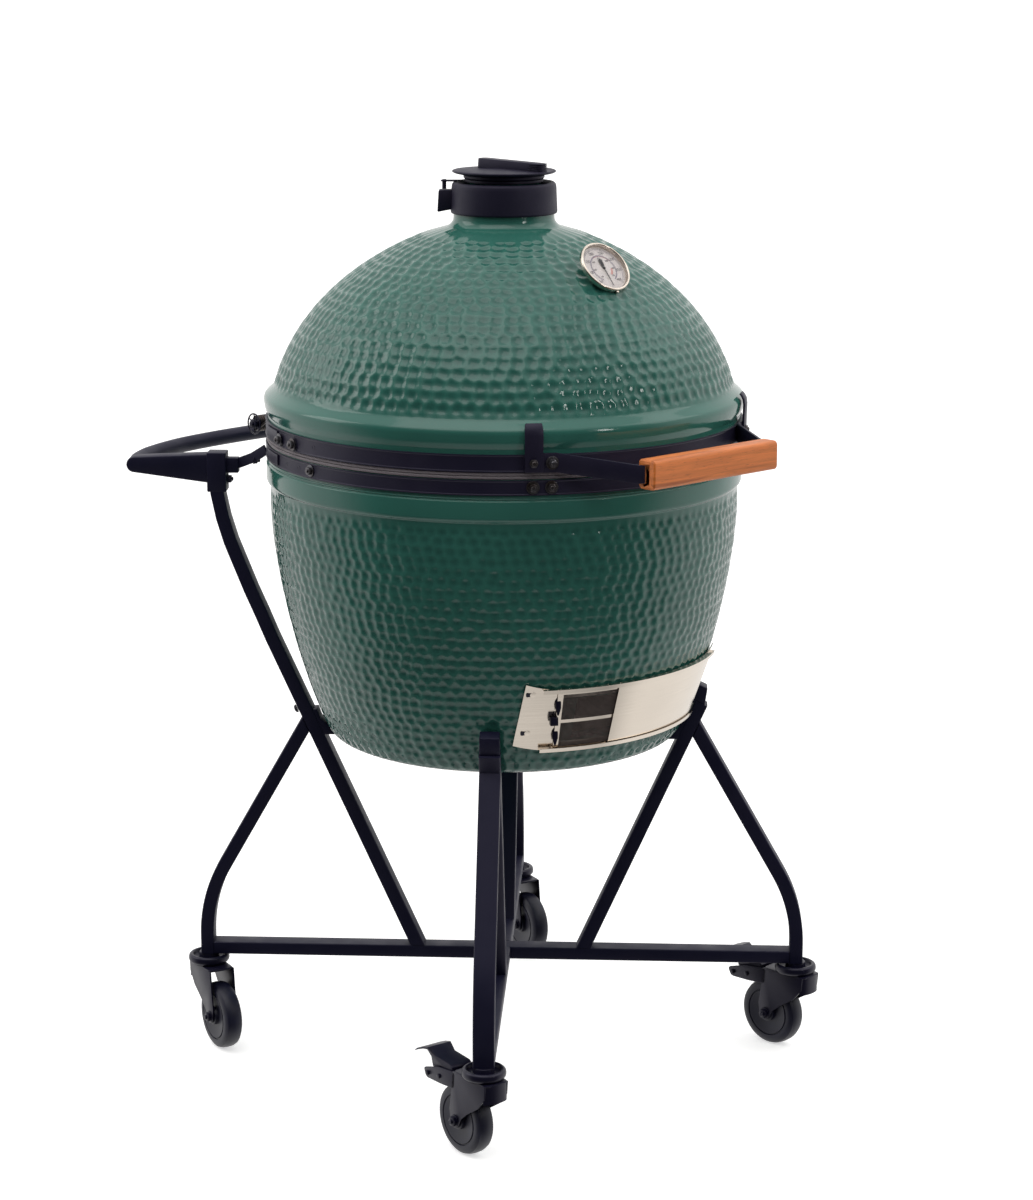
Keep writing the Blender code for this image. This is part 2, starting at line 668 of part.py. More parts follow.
# ---------------------------------------------------------------- thermometer
def dial_frame():
    """Matrix that stands a Z-up dial onto the dome, facing out and up."""
    tilt = Matrix.Rotation(math.radians(90.0) - DIAL_TILT, 4, "X")
    return Matrix.Translation(DIAL_CENTRE) @ tilt


def build_thermometer():
    """Dial case with its stem through the dome, the glass and the needle."""
    rim = DIAL_RADIUS
    case = [(0.0, -0.1100), (STEM_RADIUS, -0.1060), (STEM_RADIUS, -0.0120),
            (0.0100, -0.0110), (rim - 0.0100, -0.0085),
            (rim, -0.0040), (rim, 0.0), (rim - 0.0030, 0.0006), (rim - 0.0036, -0.0010),
            (rim - 0.0036, -0.0062), (0.0, -0.0062)]
    frame = dial_frame()
    add_node("thermometer_case", place(lathe(case, 28), frame), "stainless", hinge_origin())
    lens = [(0.0, -0.0026), (rim - 0.0040, -0.0026), (rim - 0.0040, -0.0012), (0.0, -0.0012)]
    add_node("thermometer_glass", place(lathe(lens, 28), frame), "clear_glass", hinge_origin())
    needle = [(-0.0012, 0.0100), (-0.0006, -0.0280), (0.0006, -0.0280), (0.0012, 0.0100)]
    bm = extrude_outline(needle, 0.0006)
    flat = Matrix.Rotation(math.radians(90.0), 4, "X")
    lift = Matrix.Translation((0.0, 0.0, -0.0042))
    spin = Matrix.Rotation(NEEDLE_ANGLE, 4, "Z")
    add_node("thermometer_needle", place(bm, frame @ lift @ spin @ flat), "needle_paint",
             frame @ Vector((0.0, 0.0, -0.0042)))


# ---------------------------------------------------------------- chimney cap
def build_cap():
    """Cap ring on the neck, the swinging vent plate and the turning dial on it."""
    low, high = CAP_RING_Z
    neck = 0.0728
    ring = [(CAP_RING_OUT + 0.0008, low), (CAP_RING_OUT - 0.0007, high - 0.003),
            (CAP_RING_OUT - 0.0037, high), (neck - 0.0060, high), (neck - 0.0060, 1.2905),
            (neck, 1.2905), (neck, low)]
    cap = add_node("cap_ring", turned_ring(ring, 40), "cap_paint", hinge_origin())
    lug = [(0.0, low + 0.006), (0.0100, low + 0.006), (0.0100, high - 0.0110),
           (0.0, high - 0.0110)]
    away = leg_point(CAP_PIN_ANGLE, CAP_PIN_REACH, 0.0)
    combine(cap, place(lathe(lug, 12), Matrix.Translation(away)), "UNION")
    plate_low = high + GAP
    build_vent_plate(plate_low, away, lug[2][1] + GAP)
    skirt = plate_low + VENT_THICK + 0.0005
    stem = VENT_HOLE - GAP
    dial = [(0.0, plate_low), (stem, plate_low), (stem, skirt), (0.0575, skirt),
            (0.0575, CAP_DISC_Z), (0.0720, CAP_DISC_Z + 0.0020),
            (0.0738, CAP_DISC_Z + 0.0040), (0.0720, CAP_DISC_Z + 0.0062),
            (0.0500, CAP_DISC_Z + 0.0085), (0.0, CAP_DISC_Z + 0.0095)]
    disc = add_node("cap_dial", lathe(dial, 40), "cap_paint", (0.0, 0.0, CAP_DISC_Z))
    grip = box((-CAP_GRIP_HALF, -0.0700, CAP_DISC_Z + 0.0030),
               (CAP_GRIP_HALF, 0.0425, CAP_GRIP_TOP))
    combine(disc, place(grip, turn_z(CAP_GRIP_TURN)), "UNION")


def build_vent_plate(low, away, pin_low):
    """Vent plate with eight petal openings, and the ear and pin it swings on."""
    radii = [VENT_HOLE, 0.0120, 0.0460, 0.0560]
    top = [(r, low + VENT_THICK) for r in radii]
    bottom = [(r, low) for r in radii]

    def petal(i, j):
        return i == 1 and j % 4 in (0, 1)

    bm = ring_body(top, bottom, 32, skip=petal)
    plate = add_node("cap_vent_plate", bm, "cap_paint", (away.x, away.y, low))
    ear = [(CAP_PIN_REACH - 0.0350, -0.0060), (CAP_PIN_REACH, -0.0060),
           (CAP_PIN_REACH + 0.0070, 0.0), (CAP_PIN_REACH, 0.0060),
           (CAP_PIN_REACH - 0.0350, 0.0060)]
    level = Matrix.Rotation(math.radians(90.0), 4, "X")
    bm = place(extrude_outline(ear, 0.0024),
               turn_z(CAP_PIN_ANGLE, (0.0, 0.0, low + 0.0012)) @ level)
    combine(plate, bm, "UNION")
    pin = [(0.0, pin_low), (0.0045, pin_low), (0.0045, low + 0.0018), (0.0, low + 0.0018)]
    combine(plate, place(lathe(pin, 12), Matrix.Translation(away)), "UNION")


# ---------------------------------------------------------------- draft door
def on_wall(offset, z):
    """Radius and height at an offset from the sloping wall behind the plates."""
    (foot_r, foot_z), (head_r, head_z) = DRAFT_FOOT, DRAFT_HEAD
    return foot_r + (head_r - foot_r) * (z - foot_z) / (head_z - foot_z) + offset, z


def draft_plate(name, skins, heights, steps, start, arc, skip=None):
    """Curved sheet between two offsets from the wall, over an arc."""
    outer, inner = ([on_wall(skin, z) for z in heights] for skin in skins)
    add_node(name, ring_body(outer, inner, steps, start, arc, skip), "stainless")


def build_draft_door():
    """Frame with its two tracks, the mesh screen and the solid door that slide in them."""
    behind = [on_wall(*back) for back, face in TRACK]
    faces = [on_wall(*face) for back, face in TRACK]

    def opening(i, j):
        return i == 3 and 5 <= j < 15

    frame = ring_body(behind, faces, 20, 270.0 - DRAFT_ARC, 2.0 * DRAFT_ARC, opening)
    add_node("draft_frame", frame, "stainless")

    def window(i, j):
        return i in (1, 3) and 1 <= j < 7

    draft_plate("draft_screen", SCREEN_SKINS,
                (0.5352, 0.5405, 0.5770, 0.5830, 0.6220, 0.6288), 9, 242.0, 30.0, window)
    draft_plate("draft_door", DOOR_SKINS, (0.5352, 0.6288), 12, 259.0, 42.0)


# ---------------------------------------------------------------- stand
def outer_leg_path():
    """Path of an outer leg: vertical foot, a bend, then a straight slope to the strut."""
    path = [(LEG_REACH, RAIL_Z[0])]
    for k in range(6):
        a = LEG_SLOPE * k / 5.0
        path.append((LEG_REACH - LEG_BEND * (1.0 - math.cos(a)),
                     LEG_BEND_Z + LEG_BEND * math.sin(a)))
    return path + [LEG_TOP]


def radial_sweep(path, thick, wide, angle, start_cut=None, end_cut=None):
    """Tube of rectangular section along a reach-height path of one leg.

    A cut is the direction, in reach and height, along which that end face lies.
    """
    bm = bmesh.new()
    loops = []
    last = len(path) - 1
    for i, (reach, z) in enumerate(path):
        here = Vector((reach, z))
        before = Vector(path[max(i - 1, 0)])
        after = Vector(path[min(i + 1, last)])
        along = (after - before).normalized()
        facing = Vector((along.y, -along.x))
        leg = (here - before).normalized() if i else along
        across = facing * (thick / 2.0) / max(leg.dot(along), 0.7)
        cut = start_cut if i == 0 else end_cut if i == last else None
        if cut is not None:
            slant = Vector(cut).normalized()
            across = slant * (thick / 2.0) / slant.dot(facing)
        corners = [(across, -wide), (across, wide), (-across, wide), (-across, -wide)]
        loops.append([bm.verts.new((here.x + a.x, w / 2.0, here.y + a.y)) for a, w in corners])
    for low, high in zip(loops, loops[1:]):
        for j in range(4):
            k = (j + 1) % 4
            bm.faces.new((low[j], low[k], high[k], high[j]))
    bm.faces.new(loops[0])
    bm.faces.new(list(reversed(loops[-1])))
    return place(bm, turn_z(angle))


def build_stand():
    """Crossed floor rails, four bent legs, four struts and the rear uprights."""
    rail_mid = (RAIL_Z[0] + RAIL_Z[1]) / 2.0
    rail_thick = RAIL_Z[1] - RAIL_Z[0]
    inner_end = LEG_REACH - TUBE_THICK / 2.0 - GAP
    through = radial_sweep([(-inner_end, rail_mid), (inner_end, rail_mid)],
                           rail_thick, TUBE_WIDE, LEG_STEP_ANGLES["rear_left"])
    add_node("floor_rail_through", through, "black_powder", axis=STAND_AXIS)
    cross_start = TUBE_WIDE / 2.0 + GAP
    for name, leg in (("floor_rail_front", "front_left"), ("floor_rail_rear", "rear_right")):
        half = radial_sweep([(cross_start, rail_mid), (inner_end, rail_mid)],
                            rail_thick, TUBE_WIDE, LEG_STEP_ANGLES[leg])
        add_node(name, half, "black_powder", axis=STAND_AXIS)
    for leg, angle in LEG_STEP_ANGLES.items():
        bm = radial_sweep(outer_leg_path(), TUBE_THICK, TUBE_WIDE, angle, end_cut=STRUT_RUN)
        add_node(leg + "_leg", bm, "black_powder", axis=STAND_AXIS)
    build_struts()
    build_push_handle()


def build_struts():
    """Front struts up to the egg, rear uprights on to the push handle."""
    foot = (STRUT_FOOT, RAIL_Z[1] + GAP)
    for leg, angle in LEG_STEP_ANGLES.items():
        front = leg.startswith("front")
        path = [foot, STRUT_TOP] if front else [foot] + UPRIGHT_BENDS
        bm = radial_sweep(path, TUBE_THICK, TUBE_WIDE, angle, start_cut=(1.0, 0.0),
                          end_cut=None if front else (1.0, 0.0))
        strut = add_node(leg + ("_strut" if front else "_upright"), bm, "black_powder",
                         axis=STAND_AXIS)
        for outline in [PAD_OUTLINE, STOP_OUTLINE] if front else [PAD_OUTLINE]:
            pad = place(extrude_outline(outline, PAD_WIDE), turn_z(angle))
            combine(strut, pad, "UNION", STAND_AXIS)


def build_push_handle():
    """Tapered arms on the uprights and the bowed push tube between their tips."""
    arm = HANDLE_ARM[:3]
    arm += [(HANDLE_REACH + HANDLE_TUBE * math.cos(a), HANDLE_Z + HANDLE_TUBE * math.sin(a))
            for a in [math.radians(-90.0 + 180.0 * k / 8.0) for k in range(9)]]
    arm += HANDLE_ARM[3:]
    for side, leg in (("left", "rear_left"), ("right", "rear_right")):
        bm = place(extrude_outline(arm, TUBE_WIDE), turn_z(LEG_STEP_ANGLES[leg]))
        add_node("handle_arm_" + side, bm, "black_powder", axis=STAND_AXIS)
    start = leg_point(LEG_STEP_ANGLES["rear_left"], HANDLE_REACH, HANDLE_Z)
    inward = Vector((math.sqrt(0.5), math.sqrt(0.5), 0.0))
    first = start + inward * (TUBE_WIDE / 2.0 + GAP)
    half = [first, first + inward * 0.020]
    half += [Vector((x, y, HANDLE_Z)) for x, y in HANDLE_BOW]
    path = half + [Vector((0.0, HANDLE_MIDDLE_Y, HANDLE_Z))]
    path += [Vector((-p.x, p.y, p.z)) for p in reversed(half)]
    bm = sweep(path, round_section(HANDLE_TUBE, 14), up=(0.0, 0.0, 1.0))
    add_node("push_tube", bm, "black_powder", axis=STAND_AXIS)


# ---------------------------------------------------------------- casters
def build_caster(corner):
    """Swivel head, fork, axle and wheel of one caster, all turned to its trail."""
    swivel = leg_point(LEG_STEP_ANGLES[corner], LEG_REACH, 0.0)
    turn = turn_z(CASTER_TRAIL_ANGLES[corner], swivel)
    head = [(0.0, 0.1232), (0.0290, 0.1232), (0.0305, 0.1250), (0.0305, 0.1345),
            (0.0285, 0.1365), (0.0245, 0.1365), (0.0230, 0.1300), (0.0140, 0.1300),
            (0.0140, RAIL_Z[0] - GAP), (0.0, RAIL_Z[0] - GAP)]
    add_node(corner + "_caster_head", place(lathe(head, 18), Matrix.Translation(swivel)),
             "caster_paint", axis=STAND_AXIS)
    add_node(corner + "_caster_fork", place(fork_mesh(), turn), "caster_paint",
             (swivel.x, swivel.y, 0.1180), STAND_AXIS)
    axle_at = turn @ Vector((CASTER_TRAIL, 0.0, WHEEL_RADIUS))
    sideways = turn @ Matrix.Translation((CASTER_TRAIL, 0.0, WHEEL_RADIUS))
    sideways = sideways @ Matrix.Rotation(math.radians(90.0), 4, "X")
    reach = FORK_HALF - GAP
    axle = [(0.0, -reach), (0.0040, -reach), (0.0040, reach), (0.0, reach)]
    add_node(corner + "_axle", place(lathe(axle, 8), sideways), "spring_steel", axle_at,
             STAND_AXIS)
    half = WHEEL_HALF
    wheel = [(0.0044, -0.0165), (0.0115, -0.0165), (0.0120, -0.0110), (0.0330, -half),
             (0.0440, -half), (WHEEL_RADIUS, -half * 0.4), (WHEEL_RADIUS, half * 0.4),
             (0.0440, half), (0.0330, half), (0.0120, 0.0110), (0.0115, 0.0165),
             (0.0044, 0.0165)]
    add_node(corner + "_wheel", place(turned_ring(wheel, 20), sideways), "tyre", axle_at,
             STAND_AXIS)


def fork_mesh():
    """Inverted U of thick sheet: a round-topped bridge and two narrowing legs."""
    thick = 0.0025
    inner = FORK_HALF
    outer = FORK_HALF + thick
    rows = [                  # lateral, height, near and far reach along the trail
        (-1.0, 0.0400, 0.0330, 0.0490), (-1.0, 0.0620, 0.0280, 0.0540),
        (-1.0, 0.1060, -0.0240, 0.0400), (-1.0, 0.1200, -0.0280, 0.0460),
        (1.0, 0.1200, -0.0280, 0.0460), (1.0, 0.1060, -0.0240, 0.0400),
        (1.0, 0.0620, 0.0280, 0.0540), (1.0, 0.0400, 0.0330, 0.0490)]
    outside = []
    inside = []
    for side, z, near, far in rows:
        span = [near + (far - near) * k / 4.0 for k in range(5)]
        top = z == 0.1200
        outside.append([(u, side * outer, z + (0.0029 if top else 0.0)) for u in span])
        inside.append([(u, side * inner, z) for u in span])
    return sheet_body(outside, inside, False)


def build_brake(corner):
    """Foot pedal of a braked caster, pivoted on the fork behind the wheel."""
    swivel = leg_point(LEG_STEP_ANGLES[corner], LEG_REACH, 0.0)
    turn = turn_z(CASTER_TRAIL_ANGLES[corner], swivel)
    pivot = turn @ Vector(BRAKE_PIVOT)
    outline = [(0.0490, 0.1080), (0.0620, 0.1020), (0.0950, 0.1040), (0.1000, 0.1200),
               (0.1250, 0.1230), (0.1350, 0.1180), (0.1360, 0.1210), (0.1260, 0.1270),
               (0.0980, 0.1250), (0.0920, 0.1230), (0.0490, 0.1230)]
    bm = place(extrude_outline(outline, 0.0340), turn)
    add_node(corner + "_brake_pedal", bm, "caster_paint", pivot, STAND_AXIS)


def main():
    clear_scene()
    build_base_shell()
    build_lid_shell()
    build_felt_and_bands()
    build_fire_parts()
    build_cooking_grid()
    build_hinge()
    build_lid_handle()
    build_thermometer()
    build_cap()
    build_draft_door()
    build_stand()
    for corner in LEG_STEP_ANGLES:
        build_caster(corner)
    build_brake("front_left")
    build_brake("front_right")


main()
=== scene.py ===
"""Looks of a ceramic kamado grill on a wheeled stand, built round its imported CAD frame."""

import json
import logging
import math
from dataclasses import dataclass, field
from enum import Enum
from typing import Iterable, Sequence

import bmesh
import bpy
import numpy as np
from mathutils import Matrix, Vector
from mathutils.geometry import interpolate_bezier


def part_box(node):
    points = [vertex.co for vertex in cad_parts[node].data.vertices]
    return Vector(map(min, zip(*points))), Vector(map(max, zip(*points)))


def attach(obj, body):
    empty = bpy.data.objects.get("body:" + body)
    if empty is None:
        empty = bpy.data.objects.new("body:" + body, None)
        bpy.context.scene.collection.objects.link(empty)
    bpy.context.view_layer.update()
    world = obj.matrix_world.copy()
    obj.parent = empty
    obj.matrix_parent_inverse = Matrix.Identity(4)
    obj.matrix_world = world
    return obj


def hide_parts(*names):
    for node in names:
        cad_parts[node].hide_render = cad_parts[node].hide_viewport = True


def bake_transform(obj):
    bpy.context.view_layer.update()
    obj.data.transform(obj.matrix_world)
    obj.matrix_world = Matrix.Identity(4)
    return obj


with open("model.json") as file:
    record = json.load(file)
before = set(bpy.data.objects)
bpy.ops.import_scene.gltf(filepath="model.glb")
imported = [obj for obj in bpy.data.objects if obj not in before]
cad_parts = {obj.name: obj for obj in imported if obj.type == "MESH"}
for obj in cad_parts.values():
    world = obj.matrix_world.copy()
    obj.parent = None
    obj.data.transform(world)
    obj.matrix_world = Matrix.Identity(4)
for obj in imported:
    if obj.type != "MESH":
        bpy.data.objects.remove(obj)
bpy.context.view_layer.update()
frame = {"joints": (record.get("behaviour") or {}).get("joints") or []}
LOG = logging.getLogger("kamado")

Outline = list[tuple[float, float]]
Colour = tuple[float, float, float]
UP = Vector((0.0, 0.0, 1.0))
ROOT = "stand_and_base"
LID = "lid"


def middle_of(node: str) -> Vector:
    """Point on the vertical axis through the middle of a CAD node."""
    low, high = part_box(node)
    return Vector(((low.x + high.x) / 2.0, (low.y + high.y) / 2.0, 0.0))


EGG = middle_of("lower_band")
STAND = middle_of("floor_rail_through")
BAND_OUTER = 0.3428
STRUT_LEAN = 0.4487
WALL_LEAN = 0.34
LAMPS_AIM_Z = 0.95
STOOD_UP = Matrix(((1.0, 0.0, 0.0, 0.0), (0.0, 0.0, -1.0, 0.0), (0.0, 1.0, 0.0, 0.0),
                   (0.0, 0.0, 0.0, 1.0)))


def heading_to(degrees: float) -> Vector:
    """Level unit vector at a heading from +X."""
    a = math.radians(degrees)
    return Vector((math.cos(a), math.sin(a), 0.0))


def joint(name: str) -> dict:
    """The record of one joint of the frame."""
    return next(j for j in frame["joints"] if j["name"] == name)


# ---------------------------------------------------------------- mesh helpers
def filleted(points: Outline, radius: float, closed: bool = False, steps: int = 3) -> Outline:
    """Round the corners of an outline.

    Args:
        points: corners in order.
        radius: reach of each rounding along its two sides.
        closed: whether the last corner joins the first.
        steps: pieces in each rounding.

    Returns:
        The outline with its corners replaced by short curves.
    """
    made: Outline = []
    count = len(points)
    for i, here in enumerate(points):
        if not closed and i in (0, count - 1):
            made.append(here)
            continue
        corner = Vector(here)
        before = Vector(points[i - 1]) - corner
        after = Vector(points[(i + 1) % count]) - corner
        cut = min(radius, before.length * 0.45, after.length * 0.45)
        first = corner + before.normalized() * cut
        last = corner + after.normalized() * cut
        for k in range(steps + 1):
            t = k / steps
            spot = first * (1 - t) ** 2 + corner * (2 * t * (1 - t)) + last * t ** 2
            made.append((spot.x, spot.y))
    return made


def arc_points(centre: tuple[float, float], radius: float, start: float, end: float,
               steps: int) -> Outline:
    """Points of a circular arc between two angles in degrees."""
    turns = [math.radians(start + (end - start) * k / steps) for k in range(steps + 1)]
    return [(centre[0] + radius * math.cos(a), centre[1] + radius * math.sin(a)) for a in turns]


def rectangle(width: float, height: float, radius: float = 0.0, steps: int = 2) -> Outline:
    """Rectangle about the origin, its corners rounded when a radius is given."""
    a, b = width / 2.0, height / 2.0
    corners = [(-a, -b), (a, -b), (a, b), (-a, b)]
    return filleted(corners, radius, True, steps) if radius else corners


def band_of(inner: float, outer: float, low: float, high: float) -> Outline:
    """Outline of a plain ring: two radii and two heights, from the lower inner corner."""
    return [(inner, low), (outer, low), (outer, high), (inner, high)]


def merged(bm: bmesh.types.BMesh) -> bmesh.types.BMesh:
    """Merge doubled vertices and turn the faces outwards."""
    bmesh.ops.remove_doubles(bm, verts=bm.verts, dist=1e-6)
    bmesh.ops.recalc_face_normals(bm, faces=bm.faces)
    return bm


def turned(outline: Outline, steps: int = 48, closed: bool = False) -> bmesh.types.BMesh:
    """Spin an outline of radius and height about Z.

    Args:
        outline: points of the outline; an open one runs from axis to axis.
        steps: facets round the axis.
        closed: whether the outline is a ring clear of the axis.

    Returns:
        The turned mesh.
    """
    bm = bmesh.new()
    verts = [bm.verts.new((r, 0.0, z)) for r, z in outline]
    pairs = list(zip(verts, verts[1:])) + ([(verts[-1], verts[0])] if closed else [])
    edges = [bm.edges.new(pair) for pair in pairs]
    bmesh.ops.spin(bm, geom=verts + edges, cent=(0.0, 0.0, 0.0), axis=UP,
                   angle=math.tau, steps=steps, use_merge=True)
    return merged(bm)


def partly_turned(outline: Outline, start: float, arc: float, steps: int) -> bmesh.types.BMesh:
    """Spin a closed outline through part of a turn and cap both ends; angles in degrees."""
    bm = bmesh.new()
    verts = [bm.verts.new((r, 0.0, z)) for r, z in outline]
    cap = bm.faces.new(verts)
    bmesh.ops.rotate(bm, verts=verts, cent=(0.0, 0.0, 0.0),
                     matrix=Matrix.Rotation(math.radians(start), 3, "Z"))
    bmesh.ops.spin(bm, geom=[cap], cent=(0.0, 0.0, 0.0), axis=UP,
                   angle=math.radians(arc), steps=steps)
    return merged(bm)


def softened(bm: bmesh.types.BMesh, offset: float, segments: int = 2,
             angle: float = 35.0) -> bmesh.types.BMesh:
    """Bevel every edge whose faces meet at more than an angle in degrees."""
    limit = math.radians(angle)
    sharp = [e for e in bm.edges
             if len(e.link_faces) == 2 and e.calc_face_angle(0.0) > limit]
    bmesh.ops.bevel(bm, geom=sharp, offset=offset, affect="EDGES", segments=segments,
                    profile=0.5, material=-1, clamp_overlap=True)
    return bm


def block(low: Sequence[float], high: Sequence[float], bevel: float = 0.001,
          segments: int = 2) -> bmesh.types.BMesh:
    """Block between two corners with softened edges."""
    bm = bmesh.new()
    size = Vector(high) - Vector(low)
    middle = (Vector(high) + Vector(low)) / 2.0
    bmesh.ops.create_cube(bm, size=1.0, matrix=Matrix.Translation(middle)
                          @ Matrix.Diagonal((*size, 1.0)))
    return softened(bm, bevel, segments) if bevel else bm


def slab(outline: Outline, thickness: float, bevel: float = 0.0) -> bmesh.types.BMesh:
    """Flat plate with an outline in X and Y, lying between z = 0 and its thickness."""
    bm = bmesh.new()
    face = bm.faces.new([bm.verts.new((x, y, 0.0)) for x, y in outline])
    grown = bmesh.ops.extrude_face_region(bm, geom=[face])["geom"]
    top = [v for v in grown if isinstance(v, bmesh.types.BMVert)]
    bmesh.ops.translate(bm, verts=top, vec=(0.0, 0.0, thickness))
    bmesh.ops.recalc_face_normals(bm, faces=bm.faces)
    return softened(bm, bevel) if bevel else bm


def aimed(at: Vector, direction: Vector, roll_to: Vector | None = None) -> Matrix:
    """Matrix that carries +Z to a direction and the origin to a point."""
    z = Vector(direction).normalized()
    seed = Vector(roll_to) if roll_to else (UP if abs(z.z) < 0.9 else Vector((1.0, 0.0, 0.0)))
    x = (seed - z * seed.dot(z)).normalized()
    y = z.cross(x)
    turn = Matrix((x, y, z)).transposed().to_4x4()
    return Matrix.Translation(at) @ turn


def placed(bm: bmesh.types.BMesh, matrix: Matrix) -> bmesh.types.BMesh:
    """Move a whole mesh by a matrix and hand it back."""
    bmesh.ops.transform(bm, matrix=matrix, verts=bm.verts)
    return bm


def shifted(bm: bmesh.types.BMesh, *vector: float) -> bmesh.types.BMesh:
    """Move a whole mesh by a vector and hand it back."""
    bmesh.ops.translate(bm, verts=bm.verts, vec=vector)
    return bm


def on_axis(bm: bmesh.types.BMesh) -> bmesh.types.BMesh:
    """Move a mesh made about the origin onto the egg's axis."""
    return placed(bm, Matrix.Translation(EGG))


def opened(bm: bmesh.types.BMesh, doomed: Sequence[bmesh.types.BMFace]) -> None:
    """Take faces out of both sides of a wall and line the opening."""
    bmesh.ops.delete(bm, geom=doomed, context="FACES")
    bmesh.ops.bridge_loops(bm, edges=[e for e in bm.edges if e.is_boundary])


def joined(parts: Iterable[bmesh.types.BMesh]) -> bmesh.types.BMesh:
    """Put several meshes into one, each still a body of its own."""
    whole = bmesh.new()
    for part in parts:
        carrier = bpy.data.meshes.new("carrier")
        part.to_mesh(carrier)
        part.free()
        whole.from_mesh(carrier)
        bpy.data.meshes.remove(carrier)
    return whole


def stations_along(path: Sequence[Vector], level: bool = True) -> list[Matrix]:
    """Frames for a section carried along a path.

    Args:
        path: points of the centre line.
        level: keep the section's Y upright; otherwise it turns as little as it can.

    Returns:
        One matrix for each point, mitred at the bends.
    """
    made = []
    side = None
    last = len(path) - 1
    for i, here in enumerate(path):
        before = (here - path[i - 1]).normalized() if i else (path[1] - here).normalized()
        after = (path[i + 1] - here).normalized() if i < last else before
        along = (before + after).normalized()
        if level or side is None:
            seed = UP if abs(along.z) < 0.9 else Vector((0.0, 1.0, 0.0))
            side = seed.cross(along).normalized()
        else:
            side = (side - along * side.dot(along)).normalized()
        turn = Matrix((side, along.cross(side), along)).transposed()
        bend = after - before
        if bend.length > 1e-4:
            bend.normalize()
            mitre = 1.0 / max(before.dot(along), 0.6)
            turn = Matrix.Scale(mitre, 3, bend) @ turn
        made.append(Matrix.Translation(here) @ turn.to_4x4())
    return made


def swept(section: Outline, stations: Sequence[Matrix]) -> bmesh.types.BMesh:
    """Carry a closed section from frame to frame and cap both ends."""
    bm = bmesh.new()
    ring = [bm.verts.new(stations[0] @ Vector((x, y, 0.0))) for x, y in section]
    edges = list(bm.faces.new(ring).edges)
    for before, after in zip(stations, stations[1:]):
        grown = bmesh.ops.extrude_edge_only(bm, edges=edges)["geom"]
        verts = {v for v in grown if isinstance(v, bmesh.types.BMVert)}
        edges = [e for e in grown if isinstance(e, bmesh.types.BMEdge)
                 and e.verts[0] in verts and e.verts[1] in verts]
        bmesh.ops.transform(bm, matrix=after @ before.inverted(), verts=list(verts))
    bmesh.ops.contextual_create(bm, geom=edges)
    bmesh.ops.recalc_face_normals(bm, faces=bm.faces)
    return bm


def rod(start: Vector, end: Vector, radius: float, steps: int = 16,
        bevel: float = 0.0) -> bmesh.types.BMesh:
    """Round bar between two points."""
    bm = bmesh.new()
    along = Vector(end) - Vector(start)
    bmesh.ops.create_cone(bm, cap_ends=True, segments=steps, radius1=radius, radius2=radius,
                          depth=along.length)
    if bevel:
        softened(bm, bevel)
    return placed(bm, aimed((Vector(start) + Vector(end)) / 2.0, along))


def hex_bolt(radius: float, height: float, washer: float = 1.45,
             stud: float = 0.0) -> bmesh.types.BMesh:
    """Hexagon head on a flat washer, standing up along +Z from z = 0.

    Args:
        radius: corner radius of the head.
        height: height of the head.
        washer: washer radius as a share of the head's.
        stud: how far a threaded end stands out of the head.

    Returns:
        The fastener as one group of bodies.
    """
    plate = height * 0.22
    parts = [turned(filleted([(0.0, 0.0), (radius * washer, 0.0), (radius * washer, plate),
                              (0.0, plate)], plate * 0.4), 24)]
    head = bmesh.new()
    bmesh.ops.create_cone(head, cap_ends=True, segments=6, radius1=radius, radius2=radius,
                          depth=height)
    softened(head, radius * 0.10)
    parts.append(shifted(head, 0.0, 0.0, plate + height / 2.0))
    if stud:
        tip = plate + height + stud
        thread = [(0.0, plate), (radius * 0.5, plate), (radius * 0.5, tip - radius * 0.15),
                  (radius * 0.38, tip), (0.0, tip)]
        parts.append(turned(thread, 14))
    return joined(parts)


